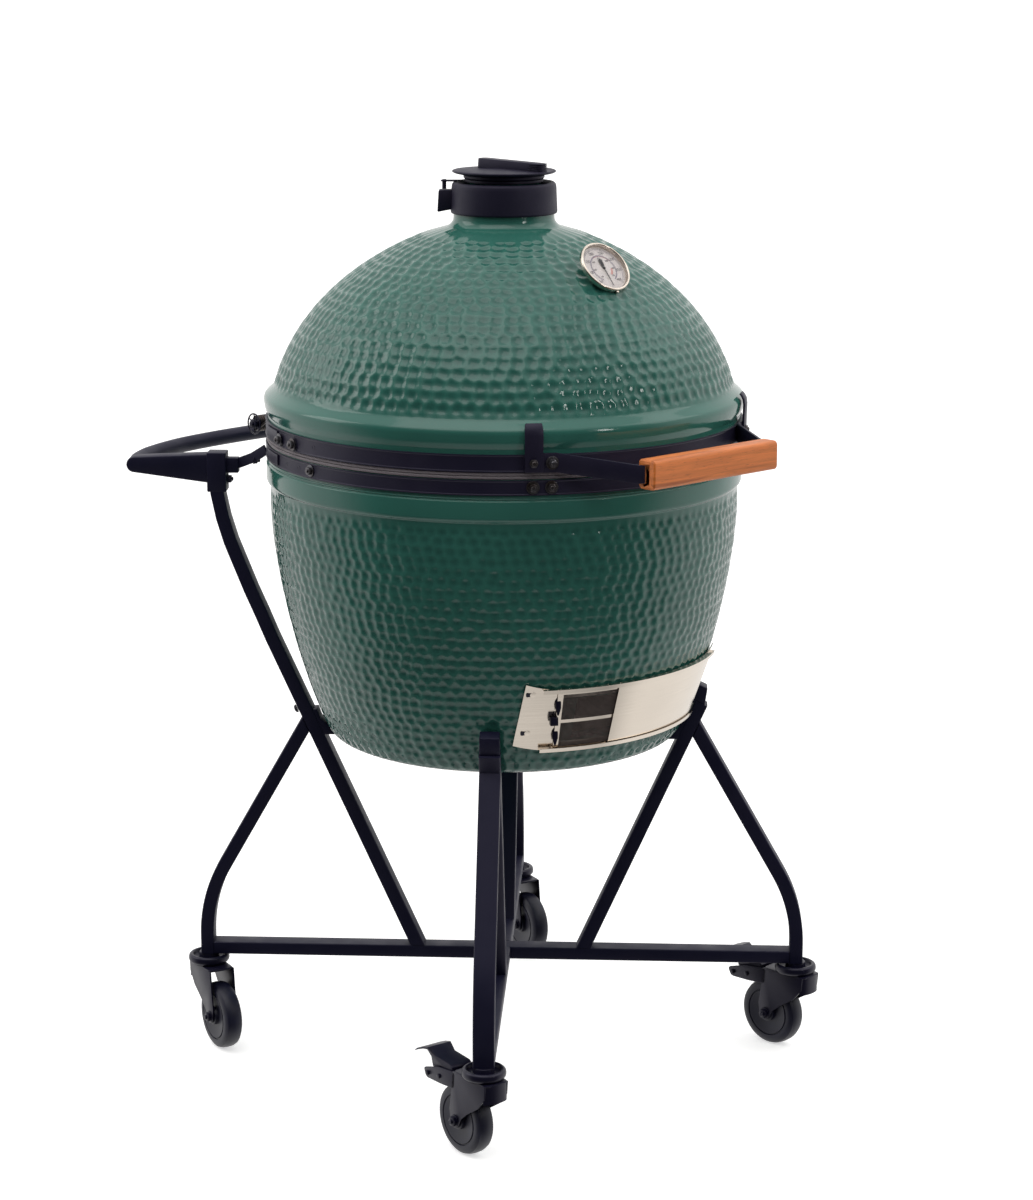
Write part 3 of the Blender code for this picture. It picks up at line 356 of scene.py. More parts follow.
# ---------------------------------------------------------------- material graphs
class Graph:
    """Node tree of one material, with short calls for the nodes it is made of."""

    def __init__(self, name: str) -> None:
        """Start a material with its Principled shader."""
        self.material = bpy.data.materials.new(name)
        self.material.use_nodes = True
        self.tree = self.material.node_tree
        self.shader = self.tree.nodes["Principled BSDF"]

    def add(self, kind: str, inputs: dict | None = None, **settings: object) -> bpy.types.Node:
        """Add a node, set its options, and set or link its inputs."""
        node = self.tree.nodes.new(kind)
        for name, value in settings.items():
            setattr(node, name, value)
        for name, value in (inputs or {}).items():
            self.put(node.inputs[name], value)
        return node

    def put(self, socket: bpy.types.NodeSocket, value: object) -> None:
        """Link a socket to an input, or set the input's value."""
        if isinstance(value, bpy.types.NodeSocket):
            self.tree.links.new(value, socket)
        elif isinstance(value, tuple) and len(value) == 3 and socket.type == "RGBA":
            socket.default_value = (*value, 1.0)
        else:
            socket.default_value = value

    def space(self, stretch: tuple[float, float, float] = (1.0, 1.0, 1.0)) -> bpy.types.NodeSocket:
        """Object coordinates, stretched."""
        place = self.add("ShaderNodeTexCoord").outputs["Object"]
        return self.add("ShaderNodeMapping", {"Vector": place, "Scale": stretch}).outputs["Vector"]

    def noise(self, scale: float, detail: float = 3.0, rough: float = 0.5,
              stretch: tuple[float, float, float] = (1.0, 1.0, 1.0),
              twist: float = 0.0) -> bpy.types.NodeSocket:
        """Noise of a given scale, as a factor."""
        node = self.add("ShaderNodeTexNoise",
                        {"Vector": self.space(stretch), "Scale": scale, "Detail": detail,
                         "Roughness": rough, "Distortion": twist})
        return node.outputs["Fac"]

    def ramp(self, factor: bpy.types.NodeSocket,
             stops: Sequence[tuple[float, Colour]]) -> bpy.types.NodeSocket:
        """Colour ramp through the given stops."""
        node = self.add("ShaderNodeValToRGB", {"Fac": factor})
        band = node.color_ramp.elements
        while len(band) < len(stops):
            band.new(0.5)
        for stop, (place, colour) in zip(band, stops):
            stop.position = place
            stop.color = (*colour, 1.0)
        return node.outputs["Color"]

    def mix(self, factor: object, first: object, second: object,
            blend: str = "MIX") -> bpy.types.NodeSocket:
        """Mix two colours."""
        node = self.add("ShaderNodeMix", data_type="RGBA", blend_type=blend)
        self.put(node.inputs[0], factor)
        self.put(node.inputs[6], first)
        self.put(node.inputs[7], second)
        return node.outputs[2]

    def spread(self, factor: bpy.types.NodeSocket, low: float, high: float,
               start: float = 0.25, end: float = 0.75) -> bpy.types.NodeSocket:
        """Map part of a factor's range onto new limits."""
        node = self.add("ShaderNodeMapRange", {"Value": factor, "From Min": start,
                                               "From Max": end, "To Min": low, "To Max": high})
        return node.outputs["Result"]

    def bump(self, height: bpy.types.NodeSocket, strength: float, distance: float,
             under: bpy.types.NodeSocket | None = None) -> bpy.types.NodeSocket:
        """Bump from a height, over another bump when given."""
        inputs = {"Height": height, "Strength": strength, "Distance": distance}
        if under is not None:
            inputs["Normal"] = under
        return self.add("ShaderNodeBump", inputs).outputs["Normal"]

    def dress(self, **values: object) -> None:
        """Set or link inputs of the shader; underscores stand for spaces."""
        for name, value in values.items():
            self.put(self.shader.inputs[name.replace("_", " ")], value)


def shade(colour: Colour, share: float) -> Colour:
    """The colour, made lighter or darker by a share."""
    return tuple(min(c * share, 1.0) for c in colour)


# ---------------------------------------------------------------- finishes
@dataclass(frozen=True)
class Finish:
    """One surface finish, with a slot name that goes into its material's name."""

    slot: str
    colour: Colour
    roughness: float

    def material(self) -> bpy.types.Material:
        """The finish's material, painted on first use."""
        name = f"{type(self).__name__}_{self.slot}_{self.colour[0]:.3f}"
        found = bpy.data.materials.get(name)
        if found:
            return found
        graph = Graph(name)
        self.paint(graph)
        graph.material.diffuse_color = (*self.colour, 1.0)
        return graph.material

    def paint(self, graph: Graph) -> None:
        """Draw the finish into a graph."""
        raise NotImplementedError


@dataclass(frozen=True)
class Glaze(Finish):
    """Deep glossy glaze that pools darker in the dents and thins on the ridges."""

    pooled: Colour = (0.014, 0.078, 0.066)

    def paint(self, graph: Graph) -> None:
        """Glaze colour by depth, speckle, and a rippled clear coat."""
        dent = graph.add("ShaderNodeAttribute", attribute_name="dent").outputs["Fac"]
        cloud = graph.noise(7.0, 4.0)
        body = graph.mix(graph.spread(cloud, 0.0, 1.0), shade(self.colour, 0.88),
                         shade(self.colour, 1.12))
        body = graph.mix(graph.spread(dent, 0.0, 0.55, 0.0, 1.0), body, self.pooled)
        speck = graph.noise(1300.0, 2.0)
        body = graph.mix(graph.spread(speck, 0.0, 0.35, 0.62, 0.80), body,
                         shade(self.colour, 0.45))
        ripple = graph.bump(graph.noise(95.0, 3.0), 0.10, 0.0012)
        peel = graph.bump(graph.noise(600.0, 2.0), 0.05, 0.0004, ripple)
        graph.dress(Base_Color=body, Roughness=self.roughness, Normal=peel,
                    Specular_IOR_Level=0.42, Coat_Weight=0.15, Coat_Roughness=0.05)


@dataclass(frozen=True)
class Clay(Finish):
    """Unglazed fired clay with grog specks and soot."""

    def paint(self, graph: Graph) -> None:
        """Sandy body with dark specks and a rough surface."""
        body = graph.ramp(graph.noise(14.0, 5.0), [(0.3, shade(self.colour, 0.62)),
                                                   (0.7, self.colour)])
        grog = graph.spread(graph.noise(420.0, 2.0), 0.0, 0.7, 0.60, 0.75)
        body = graph.mix(grog, body, shade(self.colour, 0.35))
        graph.dress(Base_Color=body, Roughness=self.roughness,
                    Normal=graph.bump(graph.noise(700.0, 4.0), 0.5, 0.0006))


@dataclass(frozen=True)
class Paint(Finish):
    """Powder coat or paint on metal: a cloudy colour under a fine orange peel."""

    grain: float = 900.0
    depth: float = 0.00025
    tint: Colour = (0.060, 0.044, 0.048)
    coat: float = 0.0

    def paint(self, graph: Graph) -> None:
        """Cloudy dark colour, dusty tint and orange peel."""
        cloud = graph.spread(graph.noise(11.0, 4.0), 0.0, 0.5)
        body = graph.mix(cloud, self.colour, self.tint)
        fleck = graph.spread(graph.noise(self.grain * 1.7, 1.0), 0.0, 0.4, 0.66, 0.80)
        body = graph.mix(fleck, body, shade(self.tint, 1.8))
        rough = graph.spread(graph.noise(26.0, 3.0), self.roughness * 0.85,
                             self.roughness * 1.2)
        graph.dress(Base_Color=body, Roughness=rough, Coat_Weight=self.coat,
                    Coat_Roughness=0.12, Specular_IOR_Level=0.36,
                    Specular_Tint=(0.85, 0.82, 1.0),
                    Normal=graph.bump(graph.noise(self.grain, 2.0), 0.35, self.depth))


@dataclass(frozen=True)
class Felt(Finish):
    """Pressed felt of short crossed fibres."""

    def paint(self, graph: Graph) -> None:
        """Mottled fibres with a matt sheen."""
        fibres = graph.noise(900.0, 5.0, 0.7, (1.0, 1.0, 3.0), 1.5)
        body = graph.ramp(fibres, [(0.30, shade(self.colour, 0.55)), (0.55, self.colour),
                                   (0.80, shade(self.colour, 1.5))])
        graph.dress(Base_Color=body, Roughness=self.roughness, Sheen_Weight=0.4,
                    Normal=graph.bump(fibres, 0.9, 0.0008))


@dataclass(frozen=True)
class Cast(Finish):
    """Sand-cast metal with a pitted skin."""

    metallic: float = 0.4

    def paint(self, graph: Graph) -> None:
        """Pitted dark skin with a little rust-brown."""
        body = graph.ramp(graph.noise(45.0, 5.0), [(0.35, self.colour),
                                                   (0.72, (0.060, 0.042, 0.034))])
        pits = graph.bump(graph.noise(520.0, 4.0), 0.6, 0.0007)
        graph.dress(Base_Color=body, Roughness=self.roughness, Metallic=self.metallic,
                    Normal=pits)


@dataclass(frozen=True)
class Steel(Finish):
    """Brushed stainless steel; the brushing runs across the stretched axis."""

    stretch: tuple[float, float, float] = (6.0, 6.0, 700.0)

    def paint(self, graph: Graph) -> None:
        """Fine streaks in colour, roughness and bump."""
        streak = graph.noise(1.0, 5.0, 0.7, self.stretch)
        smear = graph.noise(9.0, 4.0)
        body = graph.mix(graph.spread(smear, 0.0, 1.0), shade(self.colour, 0.90), self.colour)
        body = graph.mix(graph.spread(streak, 0.0, 0.25), body, shade(self.colour, 0.70))
        rough = graph.spread(streak, self.roughness * 0.75, self.roughness * 1.35)
        graph.dress(Base_Color=body, Roughness=rough, Metallic=1.0,
                    Normal=graph.bump(streak, 0.12, 0.0002))


@dataclass(frozen=True)
class Wood(Finish):
    """Oiled hardwood with its grain along X."""

    dark: Colour = (0.420, 0.105, 0.024)

    def paint(self, graph: Graph) -> None:
        """Growth bands, fibres and short dark pores."""
        bands = graph.noise(1.0, 3.0, 0.5, (5.0, 70.0, 95.0), 1.2)
        body = graph.ramp(bands, [(0.28, self.dark), (0.46, self.colour),
                                  (0.62, shade(self.colour, 1.25)), (0.80, self.colour)])
        fibre = graph.noise(1.0, 5.0, 0.7, (26.0, 640.0, 640.0))
        body = graph.mix(graph.spread(fibre, 0.0, 0.35), body, shade(self.dark, 1.2))
        pores = graph.noise(1.0, 2.0, 0.5, (70.0, 1500.0, 1500.0))
        body = graph.mix(graph.spread(pores, 0.0, 0.75, 0.64, 0.74), body,
                         shade(self.dark, 0.45))
        graph.dress(Base_Color=body, Roughness=self.roughness,
                    Normal=graph.bump(fibre, 0.25, 0.0003))


@dataclass(frozen=True)
class Glass(Finish):
    """Clear flat glass."""

    def paint(self, graph: Graph) -> None:
        """Clear transmission with a trace of smear."""
        smear = graph.spread(graph.noise(60.0, 3.0), self.roughness, self.roughness + 0.03)
        graph.dress(Base_Color=self.colour, Roughness=smear, Transmission_Weight=1.0,
                    IOR=1.08, Alpha=0.35)


@dataclass(frozen=True)
class Print(Finish):
    """Printed enamel or ink on a thin sheet."""

    def paint(self, graph: Graph) -> None:
        """Even colour with a faint paper-like mottle."""
        body = graph.mix(graph.spread(graph.noise(240.0, 3.0), 0.0, 1.0),
                         shade(self.colour, 0.93), self.colour)
        graph.dress(Base_Color=body, Roughness=self.roughness)


@dataclass(frozen=True)
class Rubber(Finish):
    """Hard moulded rubber with dust in its pores."""

    def paint(self, graph: Graph) -> None:
        """Near-black body, scuffed a little lighter."""
        scuff = graph.spread(graph.noise(38.0, 5.0), 0.0, 0.5, 0.45, 0.75)
        body = graph.mix(scuff, self.colour, shade(self.colour, 2.1))
        graph.dress(Base_Color=body, Roughness=self.roughness,
                    Normal=graph.bump(graph.noise(1100.0, 2.0), 0.25, 0.0002))


GLAZE = Glaze("green_glaze", (0.036, 0.160, 0.128), 0.13)
CLAY = Clay("fire_clay", (0.560, 0.450, 0.340), 0.90)
POWDER = Paint("black_powder", (0.0065, 0.0070, 0.0270), 0.50, tint=(0.011, 0.010, 0.030))
BAND = Paint("band_paint", (0.011, 0.010, 0.028), 0.42, tint=(0.024, 0.020, 0.040))
FELT = Felt("felt", (0.260, 0.225, 0.250), 0.95)
IRON = Cast("cast_iron", (0.030, 0.028, 0.028), 0.62)
STEEL = Steel("stainless", (0.800, 0.720, 0.630), 0.17)
WOOD = Wood("wood", (0.780, 0.225, 0.050), 0.42)
CAP = Paint("cap_paint", (0.009, 0.008, 0.024), 0.52, 1400.0, 0.0004,
            (0.018, 0.014, 0.032))
GLASS = Glass("clear_glass", (0.94, 0.95, 0.95), 0.02)
NEEDLE = Print("needle_paint", (0.022, 0.020, 0.026), 0.40)
TYRE = Rubber("tyre", (0.0070, 0.0075, 0.0250), 0.45)
CASTER = Paint("caster_paint", (0.0055, 0.0055, 0.0190), 0.36, 500.0, 0.0001,
               (0.011, 0.009, 0.024), 0.1)
SPRING = Cast("spring_steel", (0.040, 0.038, 0.044), 0.34, 0.85)
MESH_WIRE = Steel("stainless", (0.150, 0.125, 0.118), 0.50, (90.0, 90.0, 90.0))


@dataclass(frozen=True)
class Ink(Print):
    """Dial printing in one colour, dressed from the needle's slot."""

    key: str = "black"

    def material(self) -> bpy.types.Material:
        """The ink's material, one for each colour."""
        name = f"Ink_{self.key}"
        found = bpy.data.materials.get(name)
        if found:
            return found
        graph = Graph(name)
        self.paint(graph)
        return graph.material


DIAL_WHITE = Ink("needle_paint", (0.690, 0.630, 0.620), 0.28, "white")
DIAL_BLACK = Ink("needle_paint", (0.060, 0.050, 0.070), 0.40, "black")
DIAL_RED = Ink("needle_paint", (0.640, 0.300, 0.270), 0.40, "red")
DIAL_GREY = Ink("needle_paint", (0.260, 0.225, 0.290), 0.40, "grey")
ZINC = Cast("spring_steel", (0.150, 0.150, 0.170), 0.34, 0.9)


def publish(name: str, bm: bmesh.types.BMesh, finish: Finish, body: str,
            stands_for: Sequence[str] = (), sharp: float = 32.0) -> bpy.types.Object:
    """Make a finished mesh into a piece that rides on a CAD body.

    Args:
        name: name of the piece.
        bm: its mesh, in the frame's own coordinates.
        finish: the finish it is dressed in.
        body: the CAD body it moves with.
        stands_for: CAD nodes it is shown instead of.
        sharp: edges turned more than this many degrees stay crisp.

    Returns:
        The new object.
    """
    mesh = bpy.data.meshes.new(name)
    bm.to_mesh(mesh)
    bm.free()
    return publish_mesh(name, mesh, finish, body, stands_for, sharp)


def dressed(name: str, mesh: bpy.types.Mesh, finish: Finish, stands_for: Sequence[str] = (),
            sharp: float = 32.0) -> bpy.types.Object:
    """Link a mesh as a piece in its finish, not yet tied to a body; see publish."""
    mesh.materials.append(finish.material())
    mesh.shade_smooth()
    mesh.set_sharp_from_angle(angle=math.radians(sharp))
    piece = bpy.data.objects.new(name, mesh)
    bpy.context.scene.collection.objects.link(piece)
    if stands_for:
        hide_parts(*stands_for)
    return piece


def publish_mesh(name: str, mesh: bpy.types.Mesh, finish: Finish, body: str,
                 stands_for: Sequence[str] = (), sharp: float = 32.0) -> bpy.types.Object:
    """Dress a mesh, link it and let it ride; see publish."""
    piece = dressed(name, mesh, finish, stands_for, sharp)
    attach(piece, body)
    LOG.info("%s: %d faces on %s", name, len(mesh.polygons), body)
    return piece


# ---------------------------------------------------------------- ceramic egg
@dataclass
class Dents:
    """Staggered rows of shallow round dents pressed into a turned wall."""

    spacing: float
    depth: float
    fade: float
    seed: int

    def press(self, mesh: bpy.types.Mesh, outline: np.ndarray, first: float,
              last: float) -> None:
        """Push the outer wall in and store how far as the dent attribute.

        Args:
            mesh: turned wall about Z, not yet moved onto the egg's axis.
            outline: radius and height of the outer wall, row by row.
            first: distance along the outline where the dents begin.
            last: distance along the outline where they end.
        """
        arc = np.concatenate([[0.0], np.cumsum(np.hypot(*np.diff(outline, axis=0).T))])
        count = len(mesh.vertices)
        points = np.empty(count * 3)
        mesh.vertices.foreach_get("co", points)
        points = points.reshape(-1, 3)
        normals = np.empty(count * 3)
        mesh.vertex_normals.foreach_get("vector", normals)
        normals = normals.reshape(-1, 3)
        radius = np.hypot(points[:, 0], points[:, 1])
        place = self.along(radius, points[:, 2], outline, arc)
        pressed = self.depths(place, np.arctan2(points[:, 1], points[:, 0]), radius,
                              outline, arc, first, last)
        points -= normals * pressed[:, None]
        mesh.vertices.foreach_set("co", points.ravel())
        dent = mesh.attributes.new("dent", "FLOAT", "POINT")
        dent.data.foreach_set("value", np.clip(pressed / self.depth, 0.0, 1.0))
        mesh.update()

    @staticmethod
    def along(radius: np.ndarray, height: np.ndarray, outline: np.ndarray,
              arc: np.ndarray) -> np.ndarray:
        """Distance along the outline of each vertex on it, and -1 for the others."""
        place = np.full(len(radius), -1.0)
        for (r, z), s in zip(outline, arc):
            hit = (np.abs(radius - r) < 1e-5) & (np.abs(height - z) < 1e-5)
            place[hit] = s
        return place

    def depths(self, place: np.ndarray, angle: np.ndarray, radius: np.ndarray,
               outline: np.ndarray, arc: np.ndarray, first: float,
               last: float) -> np.ndarray:
        """Depth of the dent at each vertex, in metres."""
        rng = np.random.default_rng(self.seed)
        pitch = self.spacing * 0.87
        rows = int((last - first) / pitch) + 1
        nearest = np.full(len(place), 9.0)
        deep = np.zeros(len(place))
        for row in range(rows):
            at = first + pitch * (row + 0.5)
            wide = float(np.interp(at, arc, outline[:, 0]))
            number = max(int(round(math.tau * wide / self.spacing)), 6)
            phase = rng.uniform(0.0, 1.0)
            drift = rng.normal(0.0, 0.055, (number, 3))
            size = rng.uniform(0.80, 1.0, number)
            near = np.abs(place - at) < self.spacing
            turn = (angle[near] / math.tau * number + phase) % number
            for step in (0, 1):
                index = (np.floor(turn).astype(int) + step) % number
                gap = turn - index - drift[index, 0] * 1.6
                gap = (gap + number / 2.0) % number - number / 2.0
                across = gap * math.tau / number * radius[near]
                down = place[near] - at - drift[index, 1] * self.spacing
                distance = np.hypot(across, down) / (self.spacing * 0.51)
                cup = np.clip(1.0 - distance ** 2, 0.0, 1.0) * size[index]
                better = distance < nearest[near]
                spot = np.flatnonzero(near)[better]
                nearest[spot] = distance[better]
                deep[spot] = cup[better]
        edge = np.clip((place - first) / self.fade, 0.0, 1.0)
        edge *= np.clip((last - place) / self.fade, 0.0, 1.0)
        edge[place < 0.0] = 0.0
        return deep * edge * self.depth


@dataclass
class CeramicEgg:
    """Dimpled base and lid of thick glazed ceramic."""

    row_gap: float = 0.0030
    steps: int = 704
    rim: float = 0.3400
    lid_dome: tuple = ((0.1165, 1.2235), (0.3128, 1.1453), (0.3281, 1.0052), (0.3320, 1.0076))
    base_bowl: tuple = ((0.3372, 0.8620), (0.3426, 0.7836), (0.3095, 0.6152), (0.2600, 0.5085))
    port_low: float = 0.5520
    port_high: float = 0.6140
    port_half: float = 22.5

    @staticmethod
    def curve(knots: tuple, gap: float) -> Outline:
        """Points of a Bezier curve about a gap apart."""
        start, first, second, end = (Vector((*knot, 0.0)) for knot in knots)
        rough = interpolate_bezier(start, first, second, end, 200)
        length = sum((b - a).length for a, b in zip(rough, rough[1:]))
        made: Outline = []
        walked, target = 0.0, 0.0
        step = length / round(length / gap)
        for a, b in zip(rough, rough[1:]):
            while target <= walked + (b - a).length:
                spot = a.lerp(b, (target - walked) / max((b - a).length, 1e-9))
                made.append((spot.x, spot.y))
                target += step
            walked += (b - a).length
        return made

    def wall(self, name: str, outside: Outline, inside: Outline,
             dents: Dents, span: tuple[float, float]) -> bpy.types.Mesh:
        """Closed turned wall with dents between two heights of its outside."""
        bm = turned(outside + inside, self.steps, closed=True)
        mesh = bpy.data.meshes.new(name)
        bm.to_mesh(mesh)
        bm.free()
        outline = np.array(outside)
        arc = np.concatenate([[0.0], np.cumsum(np.hypot(*np.diff(outline, axis=0).T))])
        order = np.argsort(outline[:, 1])
        first, last = sorted(float(np.interp(z, outline[order, 1], arc[order])) for z in span)
        dents.press(mesh, outline, first, last)
        return mesh

    def build_lid(self) -> None:
        """Lid: neck, dimpled dome, flange and lip, with a plain wall inside."""
        neck = filleted([(0.0640, 1.2900), (0.0715, 1.2900), (0.0720, 1.2420),
                         (0.0785, 1.2345), (0.1165, 1.2235)], 0.0050)
        dome = self.curve(self.lid_dome, self.row_gap)
        dome = [p for p in dome if p[1] > 1.0085]
        flange = filleted([(0.3316, 1.0080), (0.3345, 1.0050), (0.3436, 0.9968),
                           (0.3452, 0.9915), (0.3440, 0.9800), (0.3412, 0.9725),
                           (0.3402, 0.9700), (self.rim, 0.9400)], 0.0030)
        inside = filleted([(0.3120, 0.9400), (0.3120, 0.9720), (0.3050, 1.0000),
                           (0.2860, 1.0400), (0.2560, 1.0880), (0.1900, 1.1520),
                           (0.1080, 1.2010), (0.0640, 1.2150), (0.0580, 1.2250),
                           (0.0580, 1.2900)], 0.0040, steps=1)
        outside = neck + dome[1:] + flange
        mesh = self.wall("lid_shell_glazed", outside, inside,
                         Dents(0.0190, 0.0026, 0.010, 3), (1.2245, 1.0085))
        mesh.transform(Matrix.Translation(EGG))
        publish_mesh("lid_shell_glazed", mesh, GLAZE, LID, ["lid_shell"], 60.0)

    def build_base(self) -> None:
        """Base: rim, smooth collar, dimpled bowl and flat foot, with the draft port."""
        collar = filleted([(0.3180, 0.9300), (self.rim, 0.9300), (self.rim, 0.9052),
                           (0.3422, 0.9035), (0.3400, 0.9015), (0.3428, 0.9000),
                           (0.3430, 0.8760), (0.3415, 0.8722), (0.3382, 0.8700),
                           (0.3372, 0.8620)], 0.0016)
        bowl = self.curve(self.base_bowl, self.row_gap)
        foot = filleted([(0.2600, 0.5085), (0.2545, 0.5010), (0.2427, 0.4948),
                         (0.2300, 0.4940)], 0.0050)
        inside = [(0.0300, 0.4940), (0.0300, 0.5240), (0.2150, 0.5240), (0.2380, 0.5340),
                  (0.2490, 0.5520), (0.2700, 0.6140), (0.2890, 0.6789), (0.3010, 0.7487),
                  (0.3090, 0.8600), (0.3120, 0.8740), (0.3120, 0.9300)]
        outside = collar + bowl[1:] + foot[1:]
        mesh = self.wall("base_shell_glazed", outside, inside,
                         Dents(0.0165, 0.0021, 0.008, 8), (0.8640, 0.4990))
        self.cut_port(mesh)
        mesh.transform(Matrix.Translation(EGG))
        publish_mesh("base_shell_glazed", mesh, GLAZE, ROOT, ["base_shell"], 60.0)

    def cut_port(self, mesh: bpy.types.Mesh) -> None:
        """Open the draft port through both walls and line it."""
        bm = bmesh.new()
        bm.from_mesh(mesh)
        half = math.radians(self.port_half)
        doomed = []
        for face in bm.faces:
            middle = face.calc_center_median()
            turn = math.atan2(middle.x, -middle.y)
            if abs(turn) < half and self.port_low < middle.z < self.port_high:
                doomed.append(face)
        opened(bm, doomed)
        bm.to_mesh(mesh)
        bm.free()

    def build(self) -> None:
        """Both ceramic shells."""
        self.build_lid()
        self.build_base()


# ---------------------------------------------------------------- inside the egg
@dataclass
class FireStack:
    """Fire box, fire ring, grate, cooking grid and the felt gaskets."""

    steps: int = 96
    felt_width: float = 0.0285

    def build(self) -> None:
        """All pieces inside the egg."""
        box_wall = [(0.1200, 0.5250), (0.2100, 0.5250), (0.2250, 0.5335), (0.2400, 0.5650),
                    (0.2550, 0.6140), (0.2750, 0.6789), (0.2870, 0.7487), (0.2900, 0.7695),
                    (0.2690, 0.7695), (0.2660, 0.7487), (0.2500, 0.6789), (0.1700, 0.6300),
                    (0.1340, 0.6085), (0.1250, 0.5700)]
        bm = turned(filleted(box_wall, 0.0040, True, 2), self.steps, closed=True)
        self.open_ash_door(bm)
        publish("fire_box_clay", on_axis(bm), CLAY, ROOT, ["fire_box"])
        ring_wall = [(0.2900, 0.7705), (0.3050, 0.8300), (0.3080, 0.9150), (0.2830, 0.9150),
                     (0.2800, 0.8300), (0.2680, 0.7705)]
        bm = turned(filleted(ring_wall, 0.0050, True, 3), self.steps, closed=True)
        publish("fire_ring_clay", on_axis(bm), CLAY, ROOT,
                ["fire_ring"])
        self.build_gaskets()
        self.build_grate()
        self.build_grid()

    def open_ash_door(self, bm: bmesh.types.BMesh) -> None:
        """Cut the ash door through the front of the fire box and line it."""
        doomed = [f for f in bm.faces
                  if abs(math.atan2(f.calc_center_median().x, -f.calc_center_median().y)) < 0.33
                  and 0.545 < f.calc_center_median().z < 0.605]
        opened(bm, doomed)

    def build_gaskets(self) -> None:
        """Felt rings on both rims, slightly uneven as felt is."""
        for name, node, body in (("lower_gasket_felt", "lower_gasket", ROOT),
                                 ("upper_gasket_felt", "upper_gasket", LID)):
            low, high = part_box(node)
            outer = (high.x - low.x) / 2.0
            ring = band_of(outer - self.felt_width, outer, low.z, high.z)
            bm = turned(filleted(ring, 0.0012, True, 2), 240, closed=True)
            for vert in bm.verts:
                turn = math.atan2(vert.co.y, vert.co.x)
                wave = math.sin(turn * 61.0) * math.sin(turn * 23.0) + math.sin(turn * 97.0)
                vert.co.xy *= 1.0 - 0.0008 * (1.0 + wave * 0.5)
            publish(name, on_axis(bm), FELT, body, [node])

    def build_grate(self) -> None:
        """Cast grate: a rim, a hub ring and radial bars."""
        low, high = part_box("fire_grate")
        radius = (high.x - low.x) / 2.0
        rim = band_of(radius - 0.010, radius, low.z, high.z)
        hub = band_of(0.0, 0.022, low.z, high.z)
        middle_ring = band_of(0.072, 0.079, low.z, high.z)
        parts = [turned(filleted(rim, 0.0015, True), 72, closed=True),
                 turned(filleted(hub, 0.0015), 32),
                 turned(filleted(middle_ring, 0.0015, True), 72, closed=True)]
        for k in range(18):
            bar = block((0.018, -0.0035, low.z + 0.0005), (radius - 0.006, 0.0035,
                                                          high.z - 0.0005), 0.0012)
            parts.append(placed(bar, Matrix.Rotation(math.tau * k / 18.0, 4, "Z")))
        publish("fire_grate_cast", on_axis(joined(parts)), IRON,
                ROOT, ["fire_grate"])

    def build_grid(self) -> None:
        """Cooking grid of round rods inside a rim rod."""
        low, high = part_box("cooking_grid")
        radius = (high.x - low.x) / 2.0
        thick = high.z - low.z
        level = low.z + thick / 2.0
        rim = arc_points((radius - thick / 2.0, level), thick / 2.0, 0.0, 330.0, 11)
        parts = [turned(rim, 120, closed=True)]
        count = 25
        for k in range(1, count + 1):
            x = -radius + 2.0 * radius * k / (count + 1)
            reach = math.sqrt((radius - thick / 2.0) ** 2 - x * x)
            parts.append(rod(Vector((x, -reach, level + 0.0006)),
                             Vector((x, reach, level + 0.0006)), 0.0022, 10))
        for y in (-0.11, 0.11):
            reach = math.sqrt((radius - thick / 2.0) ** 2 - y * y)
            parts.append(rod(Vector((-reach, y, level - 0.0008)),
                             Vector((reach, y, level - 0.0008)), 0.0021, 10))
        publish("cooking_grid_rods", on_axis(joined(parts)), STEEL,
                "grid", ["cooking_grid"])


# ---------------------------------------------------------------- clamp bands
def on_egg(azimuth: float, radius: float, z: float) -> tuple[Vector, Vector]:
    """Point on the egg at an azimuth from the front, and the way out of it.

    Args:
        azimuth: degrees from the front, positive towards +X.
        radius: distance from the egg's axis.
        z: height.

    Returns:
        The point and the outward direction.
    """
    a = math.radians(azimuth)
    out = Vector((math.sin(a), -math.cos(a), 0.0))
    return EGG + out * radius + UP * z, out


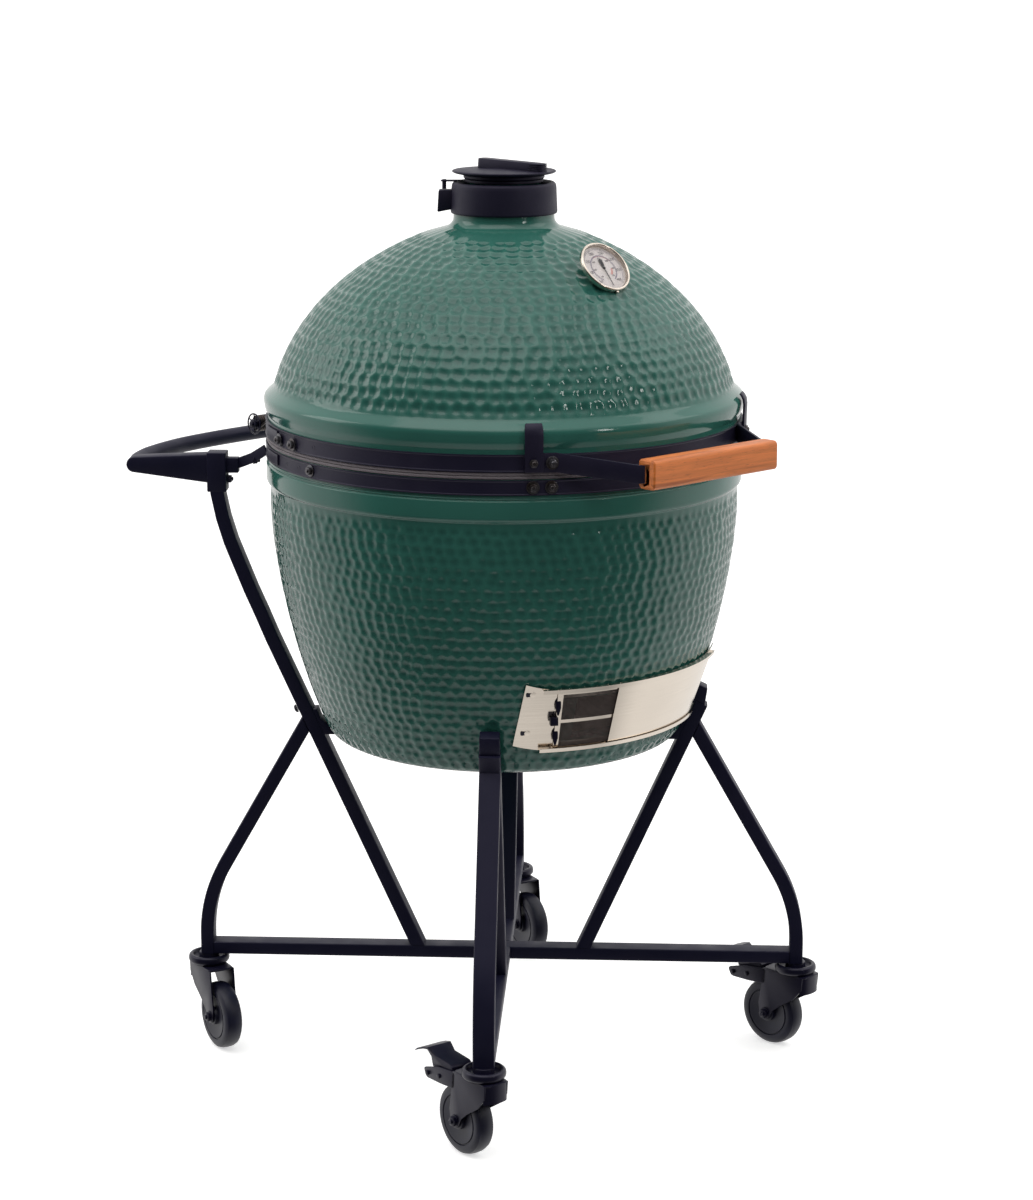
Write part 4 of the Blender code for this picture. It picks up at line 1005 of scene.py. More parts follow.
@dataclass
class ClampBands:
    """The two steel bands round the rims with their bolts and lapped ends."""

    inner: float = 0.3403
    outer: float = BAND_OUTER
    lip: float = 0.0007
    front_bolts: tuple = (-35.6, -31.4, 31.4, 35.6)
    rear_bolts: tuple = (-107.5, -100.2, 100.2, 107.5)
    holes: tuple = (-91.7, 91.7)

    def band(self, name: str, node: str, body: str) -> None:
        """One band with slightly rolled edges."""
        low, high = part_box(node)
        bottom, top = low.z, high.z
        outline = [(self.inner, bottom), (self.outer + self.lip, bottom),
                   (self.outer + self.lip, bottom + 0.0016), (self.outer, bottom + 0.0024),
                   (self.outer, top - 0.0024), (self.outer + self.lip, top - 0.0016),
                   (self.outer + self.lip, top), (self.inner, top)]
        bm = turned(filleted(outline, 0.0006, True, 2), 192, closed=True)
        publish(name, on_axis(bm), BAND, body, [node])

    def bolts(self, name: str, z: float, azimuths: Iterable[float], body: str,
              radius: float = 0.0062, out: float = 0.0005) -> None:
        """A group of hexagon bolts on a band."""
        parts = []
        for azimuth in azimuths:
            spot, normal = on_egg(azimuth, self.outer + out, z)
            parts.append(placed(hex_bolt(radius, 0.0044, stud=0.0022), aimed(spot, normal)))
        publish(name, joined(parts), ZINC, body)

    def laps(self) -> None:
        """Plates where the band ends overlap, and the raised spacers between bolts."""
        for name, z_low, z_high, body in (("lower_band_lap", 0.9120, 0.9268, ROOT),
                                          ("upper_band_lap", 0.9436, 0.9606, LID)):
            parts = []
            for start in (151.5, 19.0):
                outline = band_of(self.outer + 0.0002, self.outer + 0.0026, z_low, z_high)
                parts.append(partly_turned(filleted(outline, 0.0006, True, 2), start, 9.5, 10))
            publish(name, on_axis(joined(parts)), BAND, body)

    def punched(self) -> None:
        """Dark discs in the spare holes of the bands: painted shade where the holes stand open."""
        for name, z, azimuths, body in (("upper_band_hole_shade", 0.9526, self.holes, LID),
                                        ("lower_band_hole_shade", 0.9190, (-104.0, -98.0, 98.0,
                                                                     104.0), ROOT)):
            parts = []
            for azimuth in azimuths:
                spot, normal = on_egg(azimuth, self.outer - 0.0004, z)
                # dark disc filling an open hole: painted shade
                ring = [(0.0, 0.0), (0.0033, 0.0), (0.0033, 0.0006), (0.0026, 0.0006),
                        (0.0020, 0.0002), (0.0, 0.0002)]
                parts.append(placed(turned(ring, 18), aimed(spot, normal)))
            publish(name, joined(parts), CASTER, body)

    def build(self) -> None:
        """Bands, bolts, laps, and the painted shade in the spare holes."""
        self.band("upper_band_steel", "upper_band", LID)
        self.band("lower_band_steel", "lower_band", ROOT)
        self.bolts("upper_front_bolts", 0.9535, self.front_bolts, LID, out=0.0058)
        self.bolts("lower_front_bolts", 0.9195, self.front_bolts, ROOT)
        self.bolts("upper_rear_bolts", 0.9500, self.rear_bolts, LID, 0.0062, 0.0026)
        self.bolts("lower_rear_bolts", 0.9195, (-93.0, 93.0), ROOT, 0.0058)
        self.laps()
        self.punched()


# ---------------------------------------------------------------- hinge
@dataclass
class Hinge:
    """Two pressed leaves, the pin and a torsion spring at each end."""

    pin_radius: float = 0.0045
    half: float = 0.1470
    knuckle: float = 0.0100
    coil: float = 0.0108
    end_ring: float = 0.0150
    wire: float = 0.0017
    turns: int = 6
    axis_y: float = 0.0
    axis_z: float = 0.0

    def __post_init__(self) -> None:
        """Take the axis from the lid's joint."""
        spot = joint("lid_hinge")["pos_m"]
        self.axis_y, self.axis_z = spot[1], spot[2]

    def cheek(self, outline: Outline, x: float) -> bmesh.types.BMesh:
        """Side plate standing across the pin, its outline in Y and Z about the axis."""
        bm = slab(outline, 0.0032, 0.0008)
        stand_up = Matrix(((0.0, 0.0, 1.0, x), (1.0, 0.0, 0.0, self.axis_y),
                           (0.0, 1.0, 0.0, self.axis_z), (0.0, 0.0, 0.0, 1.0)))
        return placed(bm, stand_up)

    def sleeve(self, start: float, end: float, radius: float) -> bmesh.types.BMesh:
        """Rolled knuckle round the pin between two places along X."""
        ring = band_of(self.pin_radius + 0.0004, radius, start, end)
        bm = turned(filleted(ring, 0.0006, True), 28, closed=True)
        return placed(bm, aimed(Vector((EGG.x, self.axis_y, self.axis_z)),
                                Vector((1.0, 0.0, 0.0))))

    def build_leaves(self) -> None:
        """Lower leaf with its cheeks, upper leaf with its gussets."""
        reach = self.axis_y - EGG.y - BAND_OUTER
        lower = [(-reach + 0.0060, -0.0050), (-0.0040, -0.0105), (0.0060, -0.0085),
                 (0.0095, 0.0), (0.0065, 0.0075), (-0.0020, 0.0098), (-0.0120, 0.0060),
                 (-reach + 0.0060, 0.0120)]
        upper = [(-reach + 0.0060, 0.0290), (-0.0080, 0.0200), (0.0050, 0.0090),
                 (0.0098, 0.0), (0.0060, -0.0080), (-0.0030, -0.0098), (-0.0100, -0.0030),
                 (-0.0180, 0.0090), (-reach + 0.0060, 0.0150)]
        lower_parts = [self.cheek(lower, EGG.x + x - 0.0016) for x in (-0.1075, 0.1075)]
        upper_parts = [self.cheek(upper, EGG.x + x - 0.0016) for x in (-0.0930, 0.0930)]
        lower_parts += [self.sleeve(x - 0.0050, x + 0.0050, self.knuckle)
                        for x in (-0.1060, 0.1060)]
        upper_parts += [self.sleeve(x - 0.0190, x + 0.0190, self.knuckle)
                        for x in (-0.0700, 0.0700)]
        lower_parts.append(self.shelf(0.9090, 0.9300, 0.1090, self.axis_z - 0.0125))
        upper_parts.append(self.shelf(0.9420, 0.9640, 0.0945, self.axis_z + 0.0120))
        publish("hinge_lower_leaf", joined(lower_parts), BAND, ROOT, ["hinge_lower_bracket"])
        publish("hinge_upper_leaf", joined(upper_parts), BAND, LID, ["hinge_upper_bracket"])

    def shelf(self, z_low: float, z_high: float, half: float,
              level: float) -> bmesh.types.BMesh:
        """Curved plate on the band, with a flat web reaching back to the pin."""
        spread = math.degrees(math.asin(half / 0.3440))
        pad = band_of(0.3434, 0.3460, z_low, z_high)
        plate = partly_turned(filleted(pad, 0.0008, True, 2), 90.0 - spread, 2.0 * spread, 24)
        on_axis(plate)
        edge = arc_points((0.0, 0.0), 0.3450, 90.0 + spread, 90.0 - spread, 20)
        back = self.axis_y - EGG.y - 0.0040
        web = slab(edge + [(half, back), (-half, back)], 0.0026, 0.0006)
        placed(web, Matrix.Translation(EGG + UP * level))
        return joined([plate, web])

    def build_springs(self) -> None:
        """Torsion springs with a leg to each leaf."""
        for side, name in ((-1.0, "left"), (1.0, "right")):
            middle = EGG.x + side * 0.1275
            pitch = 0.0245 / self.turns
            path = [Vector((middle - side * 0.0122, self.axis_y - 0.0330,
                            self.axis_z - 0.0105))]
            steps = self.turns * 18
            for k in range(steps + 1):
                a = -math.tau * k / 18.0 - 1.4
                x = middle + side * (pitch * k / 18.0 - 0.0122)
                path.append(Vector((x, self.axis_y + self.coil * math.cos(a),
                                    self.axis_z + self.coil * math.sin(a))))
            path.append(Vector((middle + side * 0.0123, self.axis_y - 0.0350,
                                self.axis_z + 0.0120)))
            bm = swept(arc_points((0.0, 0.0), self.wire, 0.0, 315.0, 7),
                       stations_along(path, level=False))
            node = f"hinge_spring_{name}"
            mesh = bpy.data.meshes.new(f"{node}_coil")
            bm.to_mesh(mesh)
            bm.free()
            self.wind(dressed(f"{node}_coil", mesh, SPRING, [node]))

    def wind(self, piece: bpy.types.Object) -> None:
        """Bake a spring's placement into its mesh; it is not tied to a body."""
        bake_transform(piece)

    def spoked_ring(self, at: Vector, out: Vector) -> bmesh.types.BMesh:
        """Ring with a hub and six spokes that closes the end of a spring."""
        parts = [turned(arc_points((self.end_ring, 0.0), 0.0012, 0.0, 330.0, 11), 48,
                        closed=True),
                 turned(filleted([(0.0046, -0.0012), (0.0066, -0.0012), (0.0066, 0.0012),
                                  (0.0046, 0.0012)], 0.0004, True), 28, closed=True)]
        for k in range(6):
            a = math.tau * k / 6.0
            ray = Vector((math.cos(a), math.sin(a), 0.0))
            parts.append(rod(ray * 0.0060, ray * self.end_ring, 0.0009, 8))
        return placed(joined(parts), aimed(at, out))

    def build_pin(self) -> None:
        """Pin with a washer and a lock nut at each end."""
        centre = Vector((EGG.x, self.axis_y, self.axis_z))
        across = Vector((1.0, 0.0, 0.0))
        parts = [rod(centre - across * self.half, centre + across * self.half,
                     self.pin_radius, 20, 0.0005)]
        for side in (-1.0, 1.0):
            nut = hex_bolt(0.0078, 0.0060, 1.25, 0.0030)
            end = centre + across * side * (self.half - 0.0060)
            parts.append(placed(nut, aimed(end, across * side)))
            parts.append(self.spoked_ring(centre + across * side * 0.1445, across * side))
        publish("hinge_pin_rod", joined(parts), CASTER, ROOT, ["hinge_pin"])

    def build(self) -> None:
        """The whole hinge."""
        self.build_leaves()
        self.build_springs()
        self.build_pin()


# ---------------------------------------------------------------- lid handle
@dataclass
class LidHandle:
    """Flat strap bent out from the band, its tabs and the wooden grip."""

    thick: float = 0.0040

    def build_strap(self) -> None:
        """Strap: along the band, out to the grip and through it."""
        low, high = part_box("lid_handle_grip")
        grip_y = (low.y + high.y) / 2.0 - EGG.y
        grip_z = (low.z + high.z) / 2.0
        half = (high.x - low.x) / 2.0
        on_band = [(math.radians(a), 0.9532, 0.0262) for a in (-127.5, -125.0, -122.5, -120.6)]
        radius = BAND_OUTER + self.thick / 2.0 + 0.0004
        rows = [(radius * math.cos(a), radius * math.sin(a), z, tall) for a, z, tall in on_band]
        rows += [(-half - 0.0060, grip_y + 0.0090, grip_z, 0.0245),
                 (-half + 0.0040, grip_y, grip_z, 0.0240)]
        rows += [(-x, y, z, tall) for x, y, z, tall in reversed(rows)]
        path = [EGG + Vector((x, y, z)) for x, y, z, tall in rows]
        stations = [m @ Matrix.Diagonal((1.0, tall, 1.0, 1.0))
                    for m, (x, y, z, tall) in zip(stations_along(path), rows)]
        bm = swept(rectangle(self.thick, 1.0), stations)
        softened(bm, 0.0006, 2, 60.0)
        publish("lid_handle_strap_steel", bm, BAND, LID, ["lid_handle_strap"])

    def build_tabs(self) -> None:
        """Hooked tabs that lap over the flange of the lid."""
        for side, name in ((-1.0, "left"), (1.0, "right")):
            azimuth = side * 35.5
            path = [(0.3492, 0.9412), (0.3492, 0.9720), (0.3498, 0.9900), (0.3488, 0.9975),
                    (0.3462, 1.0030), (0.3432, 1.0058)]
            spot, out = on_egg(azimuth, 0.0, 0.0)
            points = [EGG + out * r + UP * z for r, z in path]
            across = UP.cross(out)
            stations = []
            for i, here in enumerate(points):
                ahead = points[min(i + 1, len(points) - 1)] - points[max(i - 1, 0)]
                ahead.normalize()
                turn = Matrix((across, ahead.cross(across), ahead)).transposed()
                stations.append(Matrix.Translation(here) @ turn.to_4x4())
            bm = swept(rectangle(0.0250, 0.0032), stations)
            top = [v for v in bm.verts if v.co.z > 1.0030]
            bmesh.ops.scale(bm, verts=top, vec=(0.90, 0.90, 1.0),
                            space=Matrix.Translation(-points[-1]))
            softened(bm, 0.0009, 2, 50.0)
            publish(f"lid_handle_tab_{name}_steel", bm, BAND, LID,
                    [f"lid_handle_tab_{name}"])

    def build_grip(self) -> None:
        """Wooden grip: chamfered bar with a square bore for the strap."""
        low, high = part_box("lid_handle_grip")
        centre = (low + high) / 2.0
        size = high - low
        bm = bmesh.new()
        bmesh.ops.create_cube(bm, size=1.0, matrix=Matrix.Diagonal((*size, 1.0)))
        along = [e for e in bm.edges if abs(e.verts[0].co.x - e.verts[1].co.x) > 0.1]
        bmesh.ops.bevel(bm, geom=along, offset=0.0062, affect="EDGES", segments=4,
                        profile=0.5, material=-1)
        for side in (-1.0, 1.0):
            end = [f for f in bm.faces if abs(f.normal.x - side) < 0.01]
            bmesh.ops.inset_region(bm, faces=end, thickness=0.0022, depth=0.0018)
        self.bore(bm, size)
        softened(bm, 0.0006, 2, 50.0)
        publish("lid_handle_grip_wood", placed(bm, Matrix.Translation(centre)), WOOD, LID,
                ["lid_handle_grip"], 28.0)

    def bore(self, bm: bmesh.types.BMesh, size: Vector) -> None:
        """Cut the square bore in from both ends and join it through the grip."""
        rims = []
        for side in (-1.0, 1.0):
            end = max((f for f in bm.faces if abs(f.normal.x - side) < 0.01),
                      key=lambda f: abs(f.calc_center_median().x))
            bmesh.ops.inset_region(bm, faces=[end], thickness=0.0035)
            corners = [(-0.0058, -0.0132), (0.0058, -0.0132), (0.0058, 0.0132),
                       (-0.0058, 0.0132)]
            x = end.calc_center_median().x
            ring = [bm.verts.new((x, y, z)) for y, z in corners]
            loop = [bm.edges.new((ring[k], ring[(k + 1) % 4])) for k in range(4)]
            outer = list(end.edges)
            bmesh.ops.delete(bm, geom=[end], context="FACES_ONLY")
            bmesh.ops.bridge_loops(bm, edges=outer + loop)
            rims += loop
        bmesh.ops.bridge_loops(bm, edges=rims)
        bmesh.ops.recalc_face_normals(bm, faces=bm.faces)

    def build(self) -> None:
        """Strap, tabs and grip."""
        self.build_strap()
        self.build_tabs()
        self.build_grip()


# ---------------------------------------------------------------- thermometer
@dataclass
class Thermometer:
    """Dial thermometer standing off the dome on its stem."""

    radius: float = 0.0395
    tilt: float = 40.0
    centre: Vector = field(default_factory=lambda: EGG + Vector((0.0, -0.2092, 1.1940)))
    start: float = -140.0
    sweep: float = 280.0
    print_level: float = -0.0058
    numbers: tuple = ("50", "100", "150", "200", "250", "300", "350", "400")
    inner_numbers: tuple = ("100", "200", "300", "400", "500", "600", "700")

    def frame(self, lift: float = 0.0) -> Matrix:
        """Matrix from the dial's own plane to its place, with -Y as the bottom."""
        turn = Matrix.Rotation(math.radians(90.0 - self.tilt), 4, "X")
        return Matrix.Translation(self.centre) @ turn @ Matrix.Translation((0.0, 0.0, lift))

    def case(self) -> None:
        """Case with a rolled bezel, a shallow back, its nut and the stem."""
        r = self.radius
        outline = [(0.0, -0.1100), (0.0024, -0.1080), (0.0032, -0.1050), (0.0032, -0.0180),
                   (0.0070, -0.0175), (0.0070, -0.0120), (0.0100, -0.0115),
                   (r - 0.0110, -0.0092), (r - 0.0022, -0.0078), (r, -0.0060), (r, -0.0008),
                   (r - 0.0008, 0.0004), (r - 0.0024, 0.0008), (r - 0.0034, -0.0002),
                   (r - 0.0036, -0.0064), (0.0, -0.0066)]
        bm = turned(filleted(outline, 0.0006), 96)
        publish("thermometer_case_steel", placed(bm, self.frame()), STEEL, LID,
                ["thermometer_case"])
        screw = turned(filleted([(0.0, 0.0), (0.0026, 0.0), (0.0026, 0.0022),
                                 (0.0012, 0.0030), (0.0, 0.0030)], 0.0004), 18)
        at = self.frame() @ Vector((0.0, -r, -0.0045))
        out = self.frame().to_3x3() @ Vector((0.0, -1.0, 0.0))
        publish("thermometer_set_screw", placed(screw, aimed(at, out)), STEEL, LID)

    def face(self) -> None:
        """Dial face, its coloured arcs and its tick marks."""
        disc = turned(band_of(0.0, self.radius - 0.0038, 0.0, 0.0003), 96)
        publish("thermometer_face", placed(disc, self.frame(-0.0062)), DIAL_WHITE, LID)
        grey = [self.sector(0.0219, 0.0203, -150.0, 150.0),
                self.sector(0.0315, 0.0311, -140.0, 140.0)]
        publish("thermometer_rings", placed(joined(grey), self.frame(self.print_level)), DIAL_GREY, LID)
        red = [self.sector(0.0150, 0.0120, 95.0, 140.0),
               self.sector(0.0202, 0.0198, -30.0, 60.0)]
        publish("thermometer_red_zone", placed(joined(red), self.frame(self.print_level)), DIAL_RED,
                LID)
        ticks = []
        for k in range(71):
            turn = self.start + self.sweep * k / 70.0
            long = k % 10 == 0
            middle = k % 5 == 0
            inner = 0.0300 if long else 0.0318 if middle else 0.0328
            ticks.append(self.tick(turn, inner, 0.0340, 0.00040 if long else 0.00022))
        for k in range(61):
            turn = self.start + self.sweep * k / 60.0
            ticks.append(self.tick(turn, 0.0186 if k % 10 == 0 else 0.0193, 0.0203, 0.00020))
        publish("thermometer_ticks", placed(joined(ticks), self.frame(self.print_level)), DIAL_BLACK,
                LID)

    def sector(self, outer: float, inner: float, start: float, end: float) -> bmesh.types.BMesh:
        """Flat printed band between two dial angles."""
        return partly_turned(band_of(inner, outer, 0.0, 0.0001), 90.0 - end, end - start, 48)

    def tick(self, turn: float, inner: float, outer: float, wide: float) -> bmesh.types.BMesh:
        """One printed mark at a dial angle, clockwise from the top."""
        bm = block((-wide / 2.0, inner, 0.0), (wide / 2.0, outer, 0.0001), 0.0)
        return placed(bm, Matrix.Rotation(math.radians(-turn), 4, "Z"))

    def figure(self, text: str, size: float, radius: float, turn: float) -> bmesh.types.BMesh:
        """Printed number standing upright at a dial angle."""
        curve = bpy.data.curves.new("figure", "FONT")
        curve.body = text
        curve.size = size
        curve.align_x = "CENTER"
        curve.align_y = "CENTER"
        curve.extrude = 0.00005
        curve.resolution_u = 3
        carrier = bpy.data.objects.new("figure", curve)
        bpy.context.scene.collection.objects.link(carrier)
        graph = bpy.context.evaluated_depsgraph_get()
        mesh = bpy.data.meshes.new_from_object(carrier.evaluated_get(graph))
        bm = bmesh.new()
        bm.from_mesh(mesh)
        bpy.data.objects.remove(carrier, do_unlink=True)
        bpy.data.curves.remove(curve)
        bpy.data.meshes.remove(mesh)
        a = math.radians(turn)
        return shifted(bm, radius * math.sin(a), radius * math.cos(a), 0.00005)

    def figures(self) -> None:
        """Both rings of numbers."""
        parts = []
        last = len(self.numbers) - 1
        for k, text in enumerate(self.numbers):
            parts.append(self.figure(text, 0.0062, 0.0262, self.start + self.sweep * k / last))
        last = len(self.inner_numbers) - 1
        for k, text in enumerate(self.inner_numbers):
            parts.append(self.figure(text, 0.0036, 0.0165, self.start + self.sweep * k / last))
        publish("thermometer_numbers", placed(joined(parts), self.frame(self.print_level)), DIAL_BLACK,
                LID)

    def needle(self) -> None:
        """Tapered needle with its broad tail and hub cap."""
        turn = Matrix.Rotation(math.radians(-179.0), 4, "Z")
        blade = [(-0.0009, 0.0), (-0.0003, 0.0300), (0.0003, 0.0300), (0.0009, 0.0)]
        tail = [(-0.0010, 0.0), (-0.0026, -0.0060), (-0.0032, -0.0135), (0.0, -0.0155),
                (0.0032, -0.0135), (0.0026, -0.0060), (0.0010, 0.0)]
        parts = [slab(blade, 0.0003), slab(tail, 0.0003),
                 turned(filleted([(0.0, -0.0003), (0.0022, -0.0003), (0.0022, 0.0006),
                                  (0.0012, 0.0010), (0.0, 0.0010)], 0.0003), 20)]
        publish("thermometer_needle_blade", placed(joined(parts), self.frame(-0.0045) @ turn),
                NEEDLE, "needle", ["thermometer_needle"])

    def glass(self) -> None:
        """Flat glass inside the bezel."""
        low, high = -0.0026, -0.0012
        r = self.radius - 0.0037
        lens = filleted(band_of(0.0, r, low, high), 0.0003)
        publish("thermometer_glass_disc", placed(turned(lens, 64), self.frame()), GLASS, LID,
                ["thermometer_glass"])

    def build(self) -> None:
        """The whole thermometer."""
        self.case()
        self.face()
        self.figures()
        self.needle()
        self.glass()


# ---------------------------------------------------------------- chimney cap
@dataclass
class ChimneyCap:
    """Cap ring on the neck, the vent plate and the turning dial."""

    ring_low: float = 1.2521
    ring_high: float = 1.2961
    disc_z: float = 1.3060
    disc_radius: float = 0.0738
    top: float = 1.3278
    bar_turn: float = 12.0

    def build_ring(self) -> None:
        """Flared ring with rounded edges, and the lug for the swing pin."""
        low, high = self.ring_low, self.ring_high
        outline = [(0.0728, low), (0.0748, low), (0.0760, low + 0.0022),
                   (0.0745, high - 0.0075), (0.0738, high - 0.0030), (0.0712, high),
                   (0.0668, high), (0.0660, high - 0.0040), (0.0668, 1.2905), (0.0728, 1.2905)]
        ring = turned(filleted(outline, 0.0014, True), 128, closed=True)
        spot = Vector(joint("cap_swing")["pos_m"]) - EGG
        away = Vector((spot.x, spot.y, 0.0)).normalized()
        side = UP.cross(away)
        lug = [(0.0700, 1.2585), (0.0946, 1.2540), (0.0928, 1.2840), (0.0905, 1.2851),
               (0.0700, 1.2851)]
        bm = slab(lug, 0.0240, 0.0016)
        stand_up = Matrix(((away.x, 0.0, side.x, -side.x * 0.012),
                           (away.y, 0.0, side.y, -side.y * 0.012),
                           (0.0, 1.0, 0.0, 0.0), (0.0, 0.0, 0.0, 1.0)))
        parts = [ring, placed(bm, stand_up)]
        publish("cap_ring_cast", on_axis(joined(parts)), CAP, LID,
                ["cap_ring"])

    def build_vent(self) -> None:
        """Vent plate with eight petal openings and its ear over the lug."""
        pivot = Vector(joint("cap_swing")["pos_m"])
        bottom = pivot.z
        rim = band_of(0.0452, 0.0560, 0.0, 0.0040)
        hub = band_of(0.0035, 0.0125, 0.0, 0.0040)
        parts = [turned(filleted(rim, 0.0008, True), 96, closed=True),
                 turned(filleted(hub, 0.0008, True), 48, closed=True)]
        for k in range(8):
            spoke = [(0.0110, -0.0042), (0.0470, -0.0130), (0.0470, 0.0130), (0.0110, 0.0042)]
            bm = slab(spoke, 0.0040, 0.0006)
            parts.append(placed(bm, Matrix.Rotation(math.tau * (k + 0.5) / 8.0, 4, "Z")))
        plate = placed(joined(parts), Matrix.Translation((EGG.x, EGG.y, bottom)))
        away = pivot - Vector((EGG.x, EGG.y, pivot.z))
        ear = slab([(-0.0400, -0.0050), *arc_points((0.0, 0.0), 0.0050, -90.0, 90.0, 8),
                    (-0.0400, 0.0050)], 0.0022, 0.0005)
        heading = Matrix.Rotation(math.atan2(away.y, away.x), 4, "Z")
        placed(ear, Matrix.Translation(pivot) @ heading)
        pin = turned(filleted([(0.0, -0.0105), (0.0030, -0.0105), (0.0030, 0.0030),
                               (0.0, 0.0034)], 0.0005), 24)
        placed(pin, Matrix.Translation(pivot))
        publish("cap_vent_plate_cast", joined([plate, ear, pin]), CAP, "vent_plate",
                ["cap_vent_plate"])

    def build_dial(self) -> None:
        """Dished dial with a thin rim, a dark skirt and a ribbed grip bar."""
        z, r = self.disc_z, self.disc_radius
        skirt = joint("cap_swing")["pos_m"][2] + 0.0045
        disc = [(0.0, skirt), (0.0560, skirt), (0.0575, skirt + 0.0012), (0.0575, z),
                (r - 0.0030, z + 0.0028), (r, z + 0.0044), (r, z + 0.0058),
                (r - 0.0020, z + 0.0068), (0.0500, z + 0.0078), (0.0, z + 0.0095)]
        parts = [turned(filleted(disc, 0.0009), 128)]
        bar = bmesh.new()
        length, wide = 0.1125, 0.0220
        bmesh.ops.create_cube(bar, size=1.0,
                              matrix=Matrix.Translation((0.0, -0.0700 + length / 2.0,
                                                         (z + 0.0050 + self.top) / 2.0))
                              @ Matrix.Diagonal((wide, length, self.top - z - 0.0050, 1.0)))
        upright = [e for e in bar.edges if abs(e.verts[0].co.z - e.verts[1].co.z) > 0.005]
        bmesh.ops.bevel(bar, geom=upright, offset=0.0080, affect="EDGES", segments=5,
                        profile=0.5, material=-1)
        crown = [v for v in bar.verts if v.co.z > self.top - 0.001]
        bmesh.ops.scale(bar, verts=crown, vec=(0.86, 0.985, 1.0))
        for vert in crown:
            vert.co.z -= 0.0035 * max(0.0, -vert.co.y / 0.070)
        softened(bar, 0.0012, 2, 40.0)
        parts.append(bar)
        parts += self.ribs(wide)
        bm = placed(joined(parts), Matrix.Rotation(math.radians(self.bar_turn), 4, "Z"))
        publish("cap_dial_cast", on_axis(bm), CAP, "vent_dial",
                ["cap_dial"])

    def ribs(self, wide: float) -> list[bmesh.types.BMesh]:
        """Level ribs round the front end of the grip bar."""
        made = []
        for k in range(5):
            z = self.disc_z + 0.0070 + 0.0026 * k
            bm = bmesh.new()
            bmesh.ops.create_cube(bm, size=1.0, matrix=Matrix.Translation((0.0, -0.0605, z))
                                  @ Matrix.Diagonal((wide + 0.0012, 0.0210, 0.0013, 1.0)))
            corners = [e for e in bm.edges if abs(e.verts[0].co.z - e.verts[1].co.z) > 0.001
                       and e.verts[0].co.y < -0.06]
            bmesh.ops.bevel(bm, geom=corners, offset=0.0085, affect="EDGES", segments=4,
                            profile=0.5, material=-1)
            made.append(softened(bm, 0.0003, 1, 60.0))
        return made

    def build(self) -> None:
        """The whole cap."""
        self.build_ring()
        self.build_vent()
        self.build_dial()


